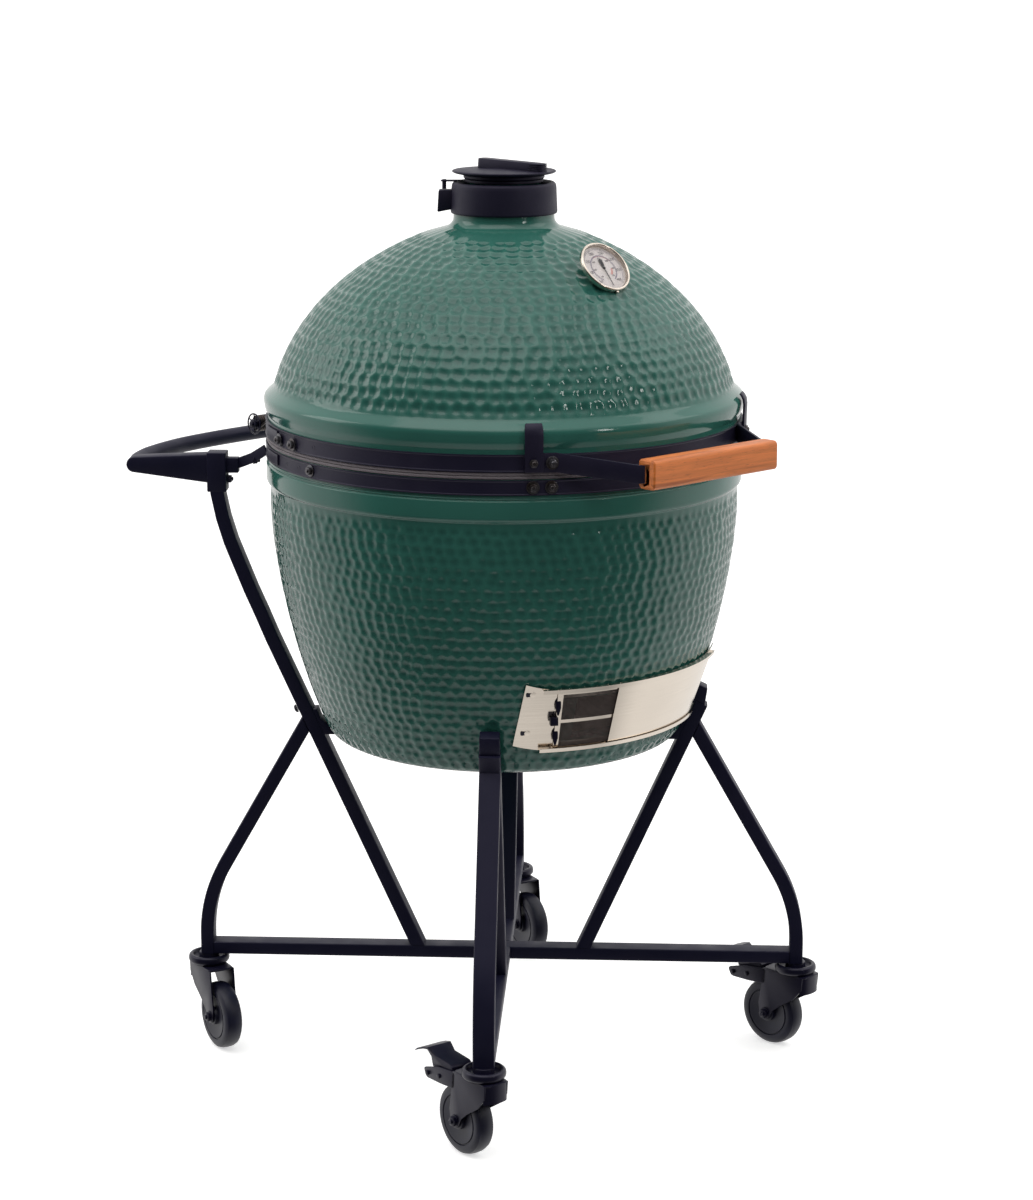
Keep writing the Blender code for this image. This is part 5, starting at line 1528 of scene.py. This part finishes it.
# ---------------------------------------------------------------- draft door
@dataclass
class DraftDoor:
    """Stainless frame with its tracks, the mesh screen and the solid door."""

    foot: tuple = (0.2701, 0.5340)
    head: tuple = (0.3030, 0.6300)
    arc: float = 38.0
    screen_from: float = -28.0
    screen_to: float = 2.0
    door_from: float = -11.0
    door_to: float = 31.0

    def at(self, offset: float, z: float) -> tuple[float, float]:
        """Radius and height at an offset from the sloping wall."""
        share = (z - self.foot[1]) / (self.head[1] - self.foot[1])
        return self.foot[0] + (self.head[0] - self.foot[0]) * share + offset, z

    def sheet(self, rows: Outline, thick: float, start: float, end: float,
              steps: int) -> bmesh.types.BMesh:
        """Bent sheet: an open outline of offset and height spun and given thickness.

        Args:
            rows: offset from the wall and height, from the bottom up.
            thick: thickness, added outwards.
            start: first azimuth from the front, in degrees.
            end: last azimuth.
            steps: facets round the arc.

        Returns:
            The sheet about the egg's axis.
        """
        inner = [self.at(offset, z) for offset, z in rows]
        outer = [(r + thick, z) for r, z in reversed(inner)]
        return partly_turned(inner + outer, 270.0 + start, end - start, steps)

    def cut(self, bm: bmesh.types.BMesh, azimuths: tuple[float, float],
            heights: tuple[float, float]) -> None:
        """Open a window through a sheet and line its edge."""
        low, high = (math.radians(a) for a in azimuths)
        doomed = []
        for face in bm.faces:
            spot = face.calc_center_median()
            turn = math.atan2(spot.x, -spot.y)
            if low < turn < high and heights[0] < spot.z < heights[1] and abs(face.normal.z) < 0.8:
                doomed.append(face)
        opened(bm, doomed)

    def build_frame(self) -> None:
        """Frame plate with a folded track along the top and the bottom."""
        rows = [(0.0018, 0.5345), (0.0018, 0.5480), (0.0018, 0.6160), (0.0018, 0.6295)]
        plate = self.sheet(rows, 0.0013, -self.arc, self.arc, 76)
        self.cut(plate, (-27.0, 19.0), (0.5480, 0.6160))
        self.lift_ends(plate)
        parts = [plate]
        for z, rise in ((0.5334, 1.0), (0.6306, -1.0)):
            track = [(0.0018, z), (0.0106, z), (0.0108, z + rise * 0.0058),
                     (0.0094, z + rise * 0.0058), (0.0094, z + rise * 0.0016),
                     (0.0018, z + rise * 0.0016)]
            section = [self.at(offset, height) for offset, height in track]
            parts.append(partly_turned(section, 270.0 - self.arc + 6.0,
                                       2.0 * self.arc - 10.0, 72))
        publish("draft_frame_sheet", on_axis(joined(parts)), STEEL,
                ROOT, ["draft_frame"])

    def lift_ends(self, bm: bmesh.types.BMesh) -> None:
        """Raise and slant both ends of a flat plate wrapped round the sloping wall."""
        for vert in bm.verts:
            turn = math.degrees(math.atan2(vert.co.x, -vert.co.y))
            share = min(max((abs(turn) - 27.0) / 11.0, 0.0), 1.0)
            if share == 0.0:
                continue
            lean = (vert.co.z - 0.5820) / 0.0480
            vert.co.z += 0.0090 * share * share
            side = 1.0 if turn > 0.0 else -1.0
            vert.co.xy = (Matrix.Rotation(math.radians(-side * 1.6 * share * lean), 2)
                          @ vert.co.xy) * (1.0 + 0.0105 * share * share)

    def build_screws(self) -> None:
        """Screws at both ends of the frame, with dark sheets painted as the shade in their open keyhole
        slots.
        """
        screws, keyhole_shades = [], []
        for azimuth, z in ((-34.6, 0.6230), (-35.6, 0.5630), (34.6, 0.6230), (35.6, 0.5630)):
            r, _ = self.at(0.0035, z)
            spot, out = on_egg(azimuth, r, z)
            lean = (out - UP * WALL_LEAN).normalized()
            head = [(0.0, 0.0), (0.0042, 0.0), (0.0040, 0.0003), (0.0, 0.0005)]
            screws.append(placed(turned(head, 24), aimed(spot, lean)))
            # dark sheet over the open part of the keyhole slot: painted shade, not a part
            slot = slab(filleted([(-0.0010, -0.0020), (0.0095, -0.0036), (0.0095, 0.0036),
                                  (-0.0010, 0.0020)], 0.0026, True, 4), 0.0005)
            left = Vector((-out.y, out.x, 0.0)) * (-1.0 if azimuth < 0.0 else 1.0)
            keyhole_shades.append(placed(slot, aimed(spot - lean * 0.0002, lean, left)))
        publish("draft_frame_screws", joined(screws), STEEL, ROOT)
        publish("draft_frame_keyhole_shade", joined(keyhole_shades), CASTER, ROOT)

    def build_screen(self) -> None:
        """Screen sheet with two windows of woven wire and its dark clips."""
        rows = [(0.0043, 0.5352), (0.0043, 0.5405), (0.0043, 0.5775), (0.0043, 0.5825),
                (0.0043, 0.6215), (0.0043, 0.6288)]
        sheet = self.sheet(rows, 0.0012, self.screen_from, self.screen_to, 60)
        window = (self.screen_from + 1.5, self.screen_to - 2.5)
        self.cut(sheet, window, (0.5405, 0.5775))
        self.cut(sheet, window, (0.5825, 0.6215))
        publish("draft_screen_sheet", on_axis(sheet), STEEL, "screen",
                ["draft_screen"])
        wires = []
        for low, high in ((0.5405, 0.5775), (0.5825, 0.6215)):
            wires.append(self.weave(window, low, high))
        publish("draft_screen_mesh", on_axis(joined(wires)), MESH_WIRE,
                "screen")
        self.build_clips()

    def weave(self, window: tuple[float, float], low: float, high: float) -> bmesh.types.BMesh:
        """Fine wire mesh filling one window."""
        bm = bmesh.new()
        count = 22
        rows = [self.at(0.0049, low + (high - low) * k / count) for k in range(count + 1)]
        verts = [bm.verts.new((r, 0.0, z)) for r, z in rows]
        edges = [bm.edges.new(pair) for pair in zip(verts, verts[1:])]
        bmesh.ops.rotate(bm, verts=verts, cent=(0.0, 0.0, 0.0),
                         matrix=Matrix.Rotation(math.radians(270.0 + window[0]), 3, "Z"))
        bmesh.ops.spin(bm, geom=verts + edges, cent=(0.0, 0.0, 0.0), axis=UP,
                       angle=math.radians(window[1] - window[0]), steps=76)
        merged(bm)
        bmesh.ops.wireframe(bm, faces=bm.faces[:], thickness=0.00085, offset=0.0,
                            use_replace=True, use_boundary=True, use_even_offset=True)
        return bm

    def build_clips(self) -> None:
        """Dark hourglass clips and the square knob on the screen's near edge."""
        parts = []
        edge = self.screen_from + 0.2
        for z in (0.6060, 0.5590):
            r, _ = self.at(0.0056, z)
            spot, out = on_egg(edge, r, z)
            shape = [(-0.0145, -0.0010), (-0.0040, -0.0042), (0.0040, -0.0042),
                     (0.0125, -0.0010), (0.0125, 0.0010), (0.0040, 0.0036),
                     (-0.0040, 0.0036), (-0.0145, 0.0010)]
            parts.append(placed(slab(shape, 0.0020, 0.0004), aimed(spot, out)))
        r, _ = self.at(0.0056, 0.5825)
        spot, out = on_egg(edge - 0.9, r, 0.5825)
        knob = block((-0.0060, -0.0055, 0.0), (0.0060, 0.0055, 0.0085), 0.0010)
        parts.append(placed(knob, aimed(spot, out)))
        publish("draft_screen_clips", joined(parts), CASTER, "screen")

    def build_door(self) -> None:
        """Plain sliding door sheet."""
        rows = [(0.0069, 0.5352), (0.0069, 0.6288)]
        door = self.sheet(rows, 0.0012, self.door_from, self.door_to, 84)
        publish("draft_door_sheet", on_axis(door), STEEL, "door",
                ["draft_door"])

    def build(self) -> None:
        """Frame, screws, screen and door."""
        self.build_frame()
        self.build_screws()
        self.build_screen()
        self.build_door()


# ---------------------------------------------------------------- stand
@dataclass(frozen=True)
class Corner:
    """One corner of the stand: its name, its heading and its caster's trail."""

    name: str
    heading: float
    trail: float
    braked: bool


CORNERS = (Corner("front_left", 225.0, 84.8, True), Corner("front_right", 315.0, 93.9, True),
           Corner("rear_left", 135.0, 257.9, False), Corner("rear_right", 45.0, 257.9, False))


@dataclass
class Stand:
    """Crossed rails, bent legs, struts, rear uprights and the push handle."""

    wide: float = 0.0300
    thick: float = 0.0200
    reach: float = 0.4418
    rail_low: float = 0.1385
    rail_high: float = 0.1575
    handle_reach: float = 0.5332
    handle_z: float = 0.8857
    tube: float = 0.0115

    def tube_run(self, path: Outline, heading: float, thick: float,
                 start_cut: tuple[float, float] | None = None,
                 end_cut: tuple[float, float] | None = None) -> bmesh.types.BMesh:
        """Rectangular tube along a path of reach and height.

        Args:
            path: reach and height of the centre line.
            heading: direction of the leg, in degrees.
            thick: size of the tube in the leg's plane.
            start_cut: direction in reach and height that the first end lies along.
            end_cut: the same for the last end.

        Returns:
            The tube about the stand's axis.
        """
        out = heading_to(heading)
        across = UP.cross(out)
        points = [STAND + out * r + UP * z for r, z in path]
        stations = []
        last = len(points) - 1
        for i, here in enumerate(points):
            before = (here - points[i - 1]).normalized() if i else (points[1] - here).normalized()
            after = (points[i + 1] - here).normalized() if i < last else before
            along = (before + after).normalized()
            facing = along.cross(across)
            stretch = 1.0 / before.dot(along)
            cut = start_cut if i == 0 else end_cut if i == last else None
            if cut is not None:
                slant = (out * cut[0] + UP * cut[1]).normalized()
                facing, stretch = slant, 1.0 / slant.dot(facing)
            turn = Matrix((across, facing * stretch, along)).transposed()
            stations.append(Matrix.Translation(here) @ turn.to_4x4())
        return swept(rectangle(self.wide, thick, 0.0028, 3), stations)

    def build_rails(self) -> None:
        """The through rail and the two halves of the crossing rail."""
        middle = (self.rail_low + self.rail_high) / 2.0
        tall = self.rail_high - self.rail_low
        inner = self.reach - self.thick / 2.0
        through = self.tube_run([(-inner, middle), (inner, middle)], 135.0, tall)
        publish("floor_rail_through_tube", through, POWDER, ROOT, ["floor_rail_through"])
        for name, heading in (("front", 225.0), ("rear", 45.0)):
            half = self.tube_run([(self.wide / 2.0 - 0.0010, middle), (inner, middle)],
                                 heading, tall)
            publish(f"floor_rail_{name}_tube", half, POWDER, ROOT, [f"floor_rail_{name}"])

    def leg_path(self) -> Outline:
        """Outer leg: upright foot, a bend and a straight slope up to the strut."""
        bend, slope, start = 0.2200, math.radians(29.5), 0.1697
        path = [(self.reach, self.rail_low)]
        for k in range(13):
            a = slope * k / 12.0
            path.append((self.reach - bend * (1.0 - math.cos(a)), start + bend * math.sin(a)))
        return path + [(0.2884, 0.4978)]

    def strut_path(self, front: bool) -> Outline:
        """Strut from the rail to the egg, or on up to the push handle."""
        foot = (0.1244, self.rail_high)
        if front:
            return [foot, (0.2950, 0.5380)]
        bends = [(0.3361, 0.6289), (0.3509, 0.6650), (0.3665, 0.7011), (0.3806, 0.7370),
                 (0.3946, 0.7728), (0.4052, 0.8085), (0.4124, 0.8441), (0.4127, 0.8475)]
        return [foot] + bends

    def block_on(self, outline: Outline, heading: float, wide: float,
                 bevel: float) -> bmesh.types.BMesh:
        """Block with an outline of reach and height, centred across a leg."""
        bm = slab(outline, wide, bevel)
        out = heading_to(heading)
        side = out.cross(UP)
        turn = Matrix((out, UP, side)).transposed().to_4x4()
        return placed(bm, Matrix.Translation(STAND - side * wide / 2.0) @ turn)

    def build_legs(self) -> None:
        """Four legs and the struts or uprights they brace."""
        slope = (STRUT_LEAN, 1.0)
        pad = [(0.2440, 0.4835), (0.2440, 0.4895), (0.2483, 0.4931), (0.2661, 0.5076),
               (0.2712, 0.5220), (0.2850, 0.5200), (0.2700, 0.4835)]
        stop = [(0.2790, 0.5400), (0.2828, 0.5520), (0.2885, 0.5684), (0.3040, 0.5612),
                (0.3000, 0.5340)]
        for corner in CORNERS:
            front = corner.name.startswith("front")
            leg = self.tube_run(self.leg_path(), corner.heading, self.thick, end_cut=slope)
            publish(f"{corner.name}_leg_tube", leg, POWDER, ROOT, [f"{corner.name}_leg"])
            strut = self.tube_run(self.strut_path(front), corner.heading, self.thick,
                                  start_cut=(1.0, 0.0), end_cut=None if front else (1.0, 0.0))
            parts = [strut, self.block_on(pad, corner.heading, 0.0280, 0.0010)]
            if front:
                parts.append(self.block_on(stop, corner.heading, 0.0280, 0.0018))
            node = f"{corner.name}_strut" if front else f"{corner.name}_upright"
            publish(f"{node}_tube", joined(parts), POWDER, ROOT, [node])
            if not front:
                self.build_foot_plug(corner)

    def build_foot_plug(self, corner: Corner) -> None:
        """Plastic plug and bolt head where leg and strut meet."""
        out = heading_to(corner.heading)
        spot = STAND + out * 0.3030 + UP * 0.5190
        lean = (out - UP * STRUT_LEAN).normalized()
        button = turned(filleted([(0.0, -0.0010), (0.0062, -0.0010), (0.0062, 0.0006),
                                  (0.0040, 0.0026), (0.0, 0.0030)], 0.0006), 24)
        publish(f"{corner.name}_joint_bolt", placed(button, aimed(spot, lean)), CASTER, ROOT)

    def build_handle(self) -> None:
        """Tapered arms with their sleeves, and the bowed push tube."""
        tip = arc_points((self.handle_reach, self.handle_z), self.tube, -90.0, 90.0, 12)
        arm = [(0.4010, 0.8600), (0.4267, 0.8600), *tip, (0.4267, 0.9020), (0.4010, 0.9020)]
        sleeve = [(0.3987, 0.8468), (0.4267, 0.8468), (0.4267, 0.9045), (0.3987, 0.9045)]
        for side, corner in (("left", CORNERS[2]), ("right", CORNERS[3])):
            parts = [self.block_on(arm, corner.heading, self.wide - 0.0020, 0.0030),
                     self.block_on(sleeve, corner.heading, self.wide + 0.0012, 0.0016)]
            out = heading_to(corner.heading)
            bolt = hex_bolt(0.0060, 0.0050, 1.3, 0.0025)
            at = STAND + out * 0.3987 + UP * 0.8640
            parts.append(placed(bolt, aimed(at, -out)))
            parts += self.egg_link(out, -1.0 if side == "left" else 1.0)
            publish(f"handle_arm_{side}_pressed", joined(parts), POWDER, ROOT,
                    [f"handle_arm_{side}"])
        self.build_push_tube()

    def egg_link(self, out: Vector, side: float) -> list[bmesh.types.BMesh]:
        """Block on the sleeve and the bent link from it to the egg's lower band."""
        root = STAND + out * 0.3925 + UP * 0.8850
        block_bm = block((-0.0110, -0.0080, -0.0110), (0.0110, 0.0080, 0.0110), 0.0012)
        placed(block_bm, aimed(root, out))
        end, away = on_egg(side * 130.0, 0.3425, 0.9130)
        middle = root.lerp(end, 0.55) - UP * 0.0020 - out * 0.0030
        path = [root - out * 0.0040, middle, end + away * 0.0010]
        link = swept(rectangle(0.0034, 0.0150, 0.0012), stations_along(path))
        bolt = placed(hex_bolt(0.0050, 0.0046, 1.2, 0.0040),
                      aimed(middle - out * 0.0010 - UP * 0.0040, -out))
        return [block_bm, link, bolt]

    def build_push_tube(self) -> None:
        """Round tube that leaves each arm along its side and bows across the back."""
        diagonal = math.sqrt(0.5)
        start = Vector((-diagonal, diagonal, 0.0)) * self.handle_reach
        inward = Vector((diagonal, diagonal, 0.0))
        first = start + inward * (self.wide / 2.0 - 0.0020)
        guide = [first, first + inward * 0.020, Vector((-0.3196, 0.4236, 0.0)),
                 Vector((-0.2676, 0.4466, 0.0)), Vector((-0.2196, 0.4606, 0.0)),
                 Vector((-0.1496, 0.4716, 0.0)), Vector((-0.0666, 0.4776, 0.0)),
                 Vector((0.0, 0.4786, 0.0))]
        guide += [Vector((-p.x, p.y, 0.0)) for p in reversed(guide[:-1])]
        path = [STAND + UP * self.handle_z + p for p in self.eased(guide)]
        bm = swept(arc_points((0.0, 0.0), self.tube, 0.0, 348.75, 31), stations_along(path))
        publish("push_tube_bent", bm, POWDER, ROOT, ["push_tube"])

    @staticmethod
    def eased(guide: list[Vector], steps: int = 6) -> list[Vector]:
        """Smooth curve through guide points."""
        made = []
        last = len(guide) - 1
        for i in range(last):
            a, b = guide[i], guide[i + 1]
            lead = (b - guide[max(i - 1, 0)]) * 0.17
            trail = (guide[min(i + 2, last)] - a) * 0.17
            spots = interpolate_bezier(a, a + lead, b - trail, b, steps + 1)
            made += list(spots)[:-1]
        return made + [guide[-1]]

    def build(self) -> None:
        """The whole stand."""
        self.build_rails()
        self.build_legs()
        self.build_handle()


# ---------------------------------------------------------------- casters
@dataclass
class Caster:
    """Swivel caster: head, hooded fork, axle and wheel, some with a brake pedal."""

    corner: Corner
    reach: float = 0.4418
    trail: float = 0.0410
    wheel_radius: float = 0.0500
    half: float = 0.0140
    fork_half: float = 0.0175

    def swivel(self) -> Vector:
        """Point on the floor under the swivel axis."""
        return STAND + heading_to(self.corner.heading) * self.reach

    def frame(self) -> Matrix:
        """Matrix from the caster's own frame, with its trail along +X."""
        turn = Matrix.Rotation(math.radians(self.corner.trail), 4, "Z")
        return Matrix.Translation(self.swivel()) @ turn

    def axle_frame(self) -> Matrix:
        """Matrix that lays a turned part on the wheel's axis."""
        lay = Matrix.Rotation(math.radians(90.0), 4, "X")
        return self.frame() @ Matrix.Translation((self.trail, 0.0, self.wheel_radius)) @ lay

    def side_plate(self, side: float) -> bmesh.types.BMesh:
        """One leg of the fork: wide under the hood, round at the axle."""
        boss = arc_points((self.trail, self.wheel_radius), 0.0105, -150.0, 10.0, 10)
        outline = [(-0.0285, 0.1215), (-0.0270, 0.1020), (-0.0120, 0.0840), (0.0130, 0.0680),
                   (0.0270, 0.0560), *boss, (0.0535, 0.0640), (0.0490, 0.0900),
                   (0.0470, 0.1080), (0.0455, 0.1215)]
        bm = slab(outline, 0.0025, 0.0006)
        placed(bm, STOOD_UP)
        return shifted(bm, 0.0, side * (self.fork_half + 0.0025) + (0.0 if side > 0.0 else 0.0025),
                       0.0)

    def build_fork(self) -> None:
        """Fork: two side plates, a rounded nose in front and the hood on top."""
        outer = self.fork_half + 0.0025
        parts = [self.side_plate(-1.0), self.side_plate(1.0)]
        nose_path = [Vector((-0.0240, -outer + 0.0012, 0.1080)),
                     *[Vector((-0.0240 - 0.0070 * math.cos(math.radians(a)),
                               (outer - 0.0012) * math.sin(math.radians(a)), 0.1080))
                       for a in range(-75, 90, 15)],
                     Vector((-0.0240, outer - 0.0012, 0.1080))]
        nose = swept(rectangle(0.0024, 0.0270), stations_along(nose_path))
        parts.append(nose)
        top = filleted([(-0.0310, -outer), (0.0455, -outer), (0.0455, outer),
                        (-0.0310, outer)], 0.0090, True, 5)
        parts.append(shifted(slab(top, 0.0028, 0.0010), 0.0, 0.0, 0.1196))
        hood = [(0.0180, 0.1220), (0.0262, 0.1220), (0.0262, 0.1226), (0.0180, 0.1231)]
        parts.append(turned(hood, 48, closed=True))
        for side in (-1.0, 1.0):
            at = Vector((self.trail, side * outer, self.wheel_radius))
            parts.append(placed(hex_bolt(0.0072, 0.0046, 1.2, 0.0026),
                                aimed(at, Vector((0.0, side, 0.0)))))
        if self.corner.braked:
            parts += self.brake_bracket(outer)
        publish(f"{self.corner.name}_caster_fork_pressed", placed(joined(parts), self.frame()),
                CASTER, f"swivel_{self.corner.name}", [f"{self.corner.name}_caster_fork"])

    def brake_bracket(self, outer: float) -> list[bmesh.types.BMesh]:
        """Ears behind the fork that carry the brake pedal's pivots."""
        made = []
        shape = filleted([(0.0400, 0.1205), (0.0420, 0.0960), (0.0760, 0.0935),
                          (0.1080, 0.0930), (0.1140, 0.1060), (0.0800, 0.1165)], 0.0050, True, 3)
        for side in (-1.0, 1.0):
            ear = placed(slab(shape, 0.0022, 0.0005), STOOD_UP)
            made.append(shifted(ear, 0.0, side * outer + (0.0022 if side < 0.0 else 0.0), 0.0))
            for u, z in ((0.0770, 0.1040), (0.1040, 0.1005)):
                at = Vector((u, side * (outer - 0.0004), z))
                made.append(placed(hex_bolt(0.0036, 0.0022, 1.2),
                                   aimed(at, Vector((0.0, side, 0.0)))))
        return made

    def build_head(self) -> None:
        """Swivel head: rolled bearing ring, dust lip and the stem plate."""
        low = 0.1234
        outline = [(0.0, low), (0.0282, low), (0.0305, low + 0.0030), (0.0308, low + 0.0065),
                   (0.0300, low + 0.0105), (0.0272, low + 0.0128), (0.0240, low + 0.0122),
                   (0.0222, low + 0.0070), (0.0150, low + 0.0060), (0.0145, 0.1382),
                   (0.0, 0.1382)]
        bm = turned(filleted(outline, 0.0012), 72)
        publish(f"{self.corner.name}_caster_head_turned",
                placed(bm, Matrix.Translation(self.swivel())), CASTER, ROOT,
                [f"{self.corner.name}_caster_head"])

    def build_wheel(self) -> None:
        """Wheel: crowned tread, a ring groove and a raised hub on each side."""
        r, h = self.wheel_radius, self.half
        right = [(r, 0.0), (r - 0.0004, h * 0.45), (r - 0.0022, h * 0.78), (r - 0.0062, h * 0.97),
                 (r - 0.0110, h), (0.0362, h), (0.0355, h - 0.0016), (0.0343, h - 0.0016),
                 (0.0336, h), (0.0300, h - 0.0004), (0.0200, h - 0.0022), (0.0135, h - 0.0024),
                 (0.0128, h + 0.0020), (0.0120, 0.0164), (0.0046, 0.0164)]
        left = [(radius, -z) for radius, z in reversed(right[1:])]
        bm = turned(left + right, 96, closed=True)
        publish(f"{self.corner.name}_wheel_moulded", placed(bm, self.axle_frame()), TYRE,
                f"wheel_{self.corner.name}", [f"{self.corner.name}_wheel"])

    def build_axle(self) -> None:
        """Axle sleeve between the fork legs."""
        reach = self.fork_half - 0.0002
        axle = band_of(0.0, 0.0040, -reach, reach)
        publish(f"{self.corner.name}_axle_turned",
                placed(turned(filleted(axle, 0.0004), 24), self.axle_frame()), SPRING,
                f"swivel_{self.corner.name}", [f"{self.corner.name}_axle"])

    def build_brake(self) -> None:
        """Foot pedal: a flat plate that rises to a ridge and curls down at its tip."""
        top = [(0.0500, 0.1235), (0.0560, 0.1268), (0.0900, 0.1290), (0.1010, 0.1360),
               (0.1045, 0.1372), (0.1160, 0.1345), (0.1290, 0.1290), (0.1350, 0.1248)]
        under = [(0.1345, 0.1236), (0.1280, 0.1268), (0.1150, 0.1318), (0.1050, 0.1338),
                 (0.1000, 0.1250), (0.0960, 0.1120), (0.0640, 0.1060), (0.0500, 0.1090)]
        bm = placed(slab(top + under, 0.0340, 0.0008), STOOD_UP)
        shifted(bm, 0.0, 0.0170, 0.0)
        flare = [v for v in bm.verts if v.co.x > 0.1030]
        bmesh.ops.scale(bm, verts=flare, vec=(1.0, 1.18, 1.0))
        publish(f"{self.corner.name}_brake_pedal_pressed", placed(bm, self.frame()), CASTER,
                f"pedal_{self.corner.name}", [f"{self.corner.name}_brake_pedal"])

    def build(self) -> None:
        """All pieces of this caster."""
        self.build_head()
        self.build_fork()
        self.build_axle()
        self.build_wheel()
        if self.corner.braked:
            self.build_brake()


# ---------------------------------------------------------------- studio
class Softbox(Enum):
    """The studio's soft lights, each set out from where the camera stands.

    Values are the turn to the camera's right, the elevation, the distance, the width and
    height of the box, and its brightness.
    """

    OVERHEAD = (-30.0, 64.0, 3.4, 3.2, 2.4, 0.95)
    LEFT = (-95.0, 28.0, 3.4, 1.6, 1.8, 1.6)
    STRIP = (46.0, 17.0, 3.2, 0.34, 0.90, 9.0)
    RIGHT = (95.0, 40.0, 3.4, 2.0, 1.6, 0.9)

    def switch_on(self, facing: float) -> None:
        """Hang the light.

        Args:
            facing: azimuth of the camera in degrees, from the front towards +X.
        """
        turn, rise, distance, width, height, radiance = self.value
        a, e = math.radians(facing + turn), math.radians(rise)
        aim = EGG + UP * LAMPS_AIM_Z
        away = Vector((math.sin(a) * math.cos(e), -math.cos(a) * math.cos(e), math.sin(e)))
        lamp = bpy.data.lights.new(self.name.lower(), "AREA")
        lamp.shape = "RECTANGLE"
        lamp.size, lamp.size_y = width, height
        lamp.energy = radiance * math.pi * width * height
        lamp.color = (1.0, 0.985, 0.96)
        holder = bpy.data.objects.new(self.name.lower(), lamp)
        holder.location = aim + away * distance
        holder.rotation_euler = (-away).to_track_quat("-Z", "Y").to_euler()
        bpy.context.scene.collection.objects.link(holder)


@dataclass
class Studio:
    """Pale floor, soft surroundings, lights and the camera."""

    azimuth: float = -42.07
    distance: float = 4.2286
    height: float = 1.6590
    pitch: float = 12.94
    lens: float = 88.94
    shift: float = 0.0104

    def build_floor(self) -> None:
        """Wide pale floor that keeps out of the reflections."""
        bm = bmesh.new()
        bmesh.ops.create_circle(bm, cap_ends=True, segments=64, radius=400.0)
        mesh = bpy.data.meshes.new("floor")
        bm.to_mesh(mesh)
        bm.free()
        graph = Graph("floor_sweep")
        grain = graph.mix(graph.spread(graph.noise(3.0, 3.0), 0.0, 1.0), (0.86, 0.86, 0.86),
                          (0.90, 0.90, 0.90))
        graph.dress(Base_Color=grain, Roughness=0.9, Emission_Color=(1.0, 1.0, 1.0),
                    Emission_Strength=0.55)
        mesh.materials.append(graph.material)
        floor = bpy.data.objects.new("floor", mesh)
        floor.visible_glossy = False
        floor.visible_diffuse = False
        bpy.context.scene.collection.objects.link(floor)

    def build_world(self) -> None:
        """Surroundings: bright behind, above and underfoot, dark on the camera's side."""
        world = bpy.data.worlds.new("studio")
        world.use_nodes = True
        tree = world.node_tree
        place = tree.nodes.new("ShaderNodeTexCoord").outputs["Generated"]

        def along(direction: Vector, limits: tuple[float, float],
                  levels: tuple[float, float]) -> bpy.types.NodeSocket:
            """Brightness that changes smoothly along a direction."""
            dot = tree.nodes.new("ShaderNodeVectorMath")
            dot.operation = "DOT_PRODUCT"
            tree.links.new(place, dot.inputs[0])
            dot.inputs[1].default_value = direction
            ease = tree.nodes.new("ShaderNodeMapRange")
            ease.interpolation_type = "SMOOTHSTEP"
            tree.links.new(dot.outputs["Value"], ease.inputs["Value"])
            for socket, value in zip(ease.inputs[1:5], (*limits, *levels)):
                socket.default_value = value
            return ease.outputs["Result"]

        a = math.radians(self.azimuth)
        towards = Vector((math.sin(a), -math.cos(a), 0.0))
        levels = [along(towards, (-0.10, 0.50), (1.0, 0.05)), along(UP, (0.30, 0.95), (0.0, 1.1)),
                  along(UP, (-0.85, -0.55), (0.85, 0.0))]
        most = levels[0]
        for level in levels[1:]:
            pick = tree.nodes.new("ShaderNodeMath")
            pick.operation = "MAXIMUM"
            tree.links.new(most, pick.inputs[0])
            tree.links.new(level, pick.inputs[1])
            most = pick.outputs[0]
        tree.links.new(most, tree.nodes["Background"].inputs["Strength"])
        tree.nodes["Background"].inputs["Color"].default_value = (1.0, 0.99, 0.975, 1.0)
        bpy.context.scene.world = world

    def build_camera(self) -> None:
        """Camera at the viewing angle, a little above the grill."""
        a = math.radians(self.azimuth)
        lens = bpy.data.cameras.new("camera")
        lens.lens = self.lens
        lens.sensor_width = 36.0
        lens.shift_x = self.shift
        camera = bpy.data.objects.new("camera", lens)
        camera.location = EGG + Vector((math.sin(a) * self.distance, -math.cos(a) * self.distance,
                                        self.height))
        camera.rotation_euler = (math.radians(90.0 - self.pitch), 0.0, a)
        bpy.context.scene.collection.objects.link(camera)
        bpy.context.scene.camera = camera

    def build(self) -> None:
        """Everything that isn't the grill."""
        self.build_floor()
        self.build_world()
        for lamp in Softbox:
            lamp.switch_on(self.azimuth)
        self.build_camera()
        bpy.context.scene.view_settings.view_transform = "Standard"


def main() -> None:
    """Build the studio, then every sub-assembly in order."""
    logging.basicConfig(level=logging.INFO, format="%(name)s: %(message)s")
    Studio().build()
    for assembly in (CeramicEgg(), FireStack(), ClampBands(), Hinge(), LidHandle(),
                     Thermometer(), ChimneyCap(), DraftDoor(), Stand(),
                     *(Caster(corner) for corner in CORNERS)):
        LOG.info("building %s", type(assembly).__name__)
        assembly.build()


if __name__ == "__main__":
    main()
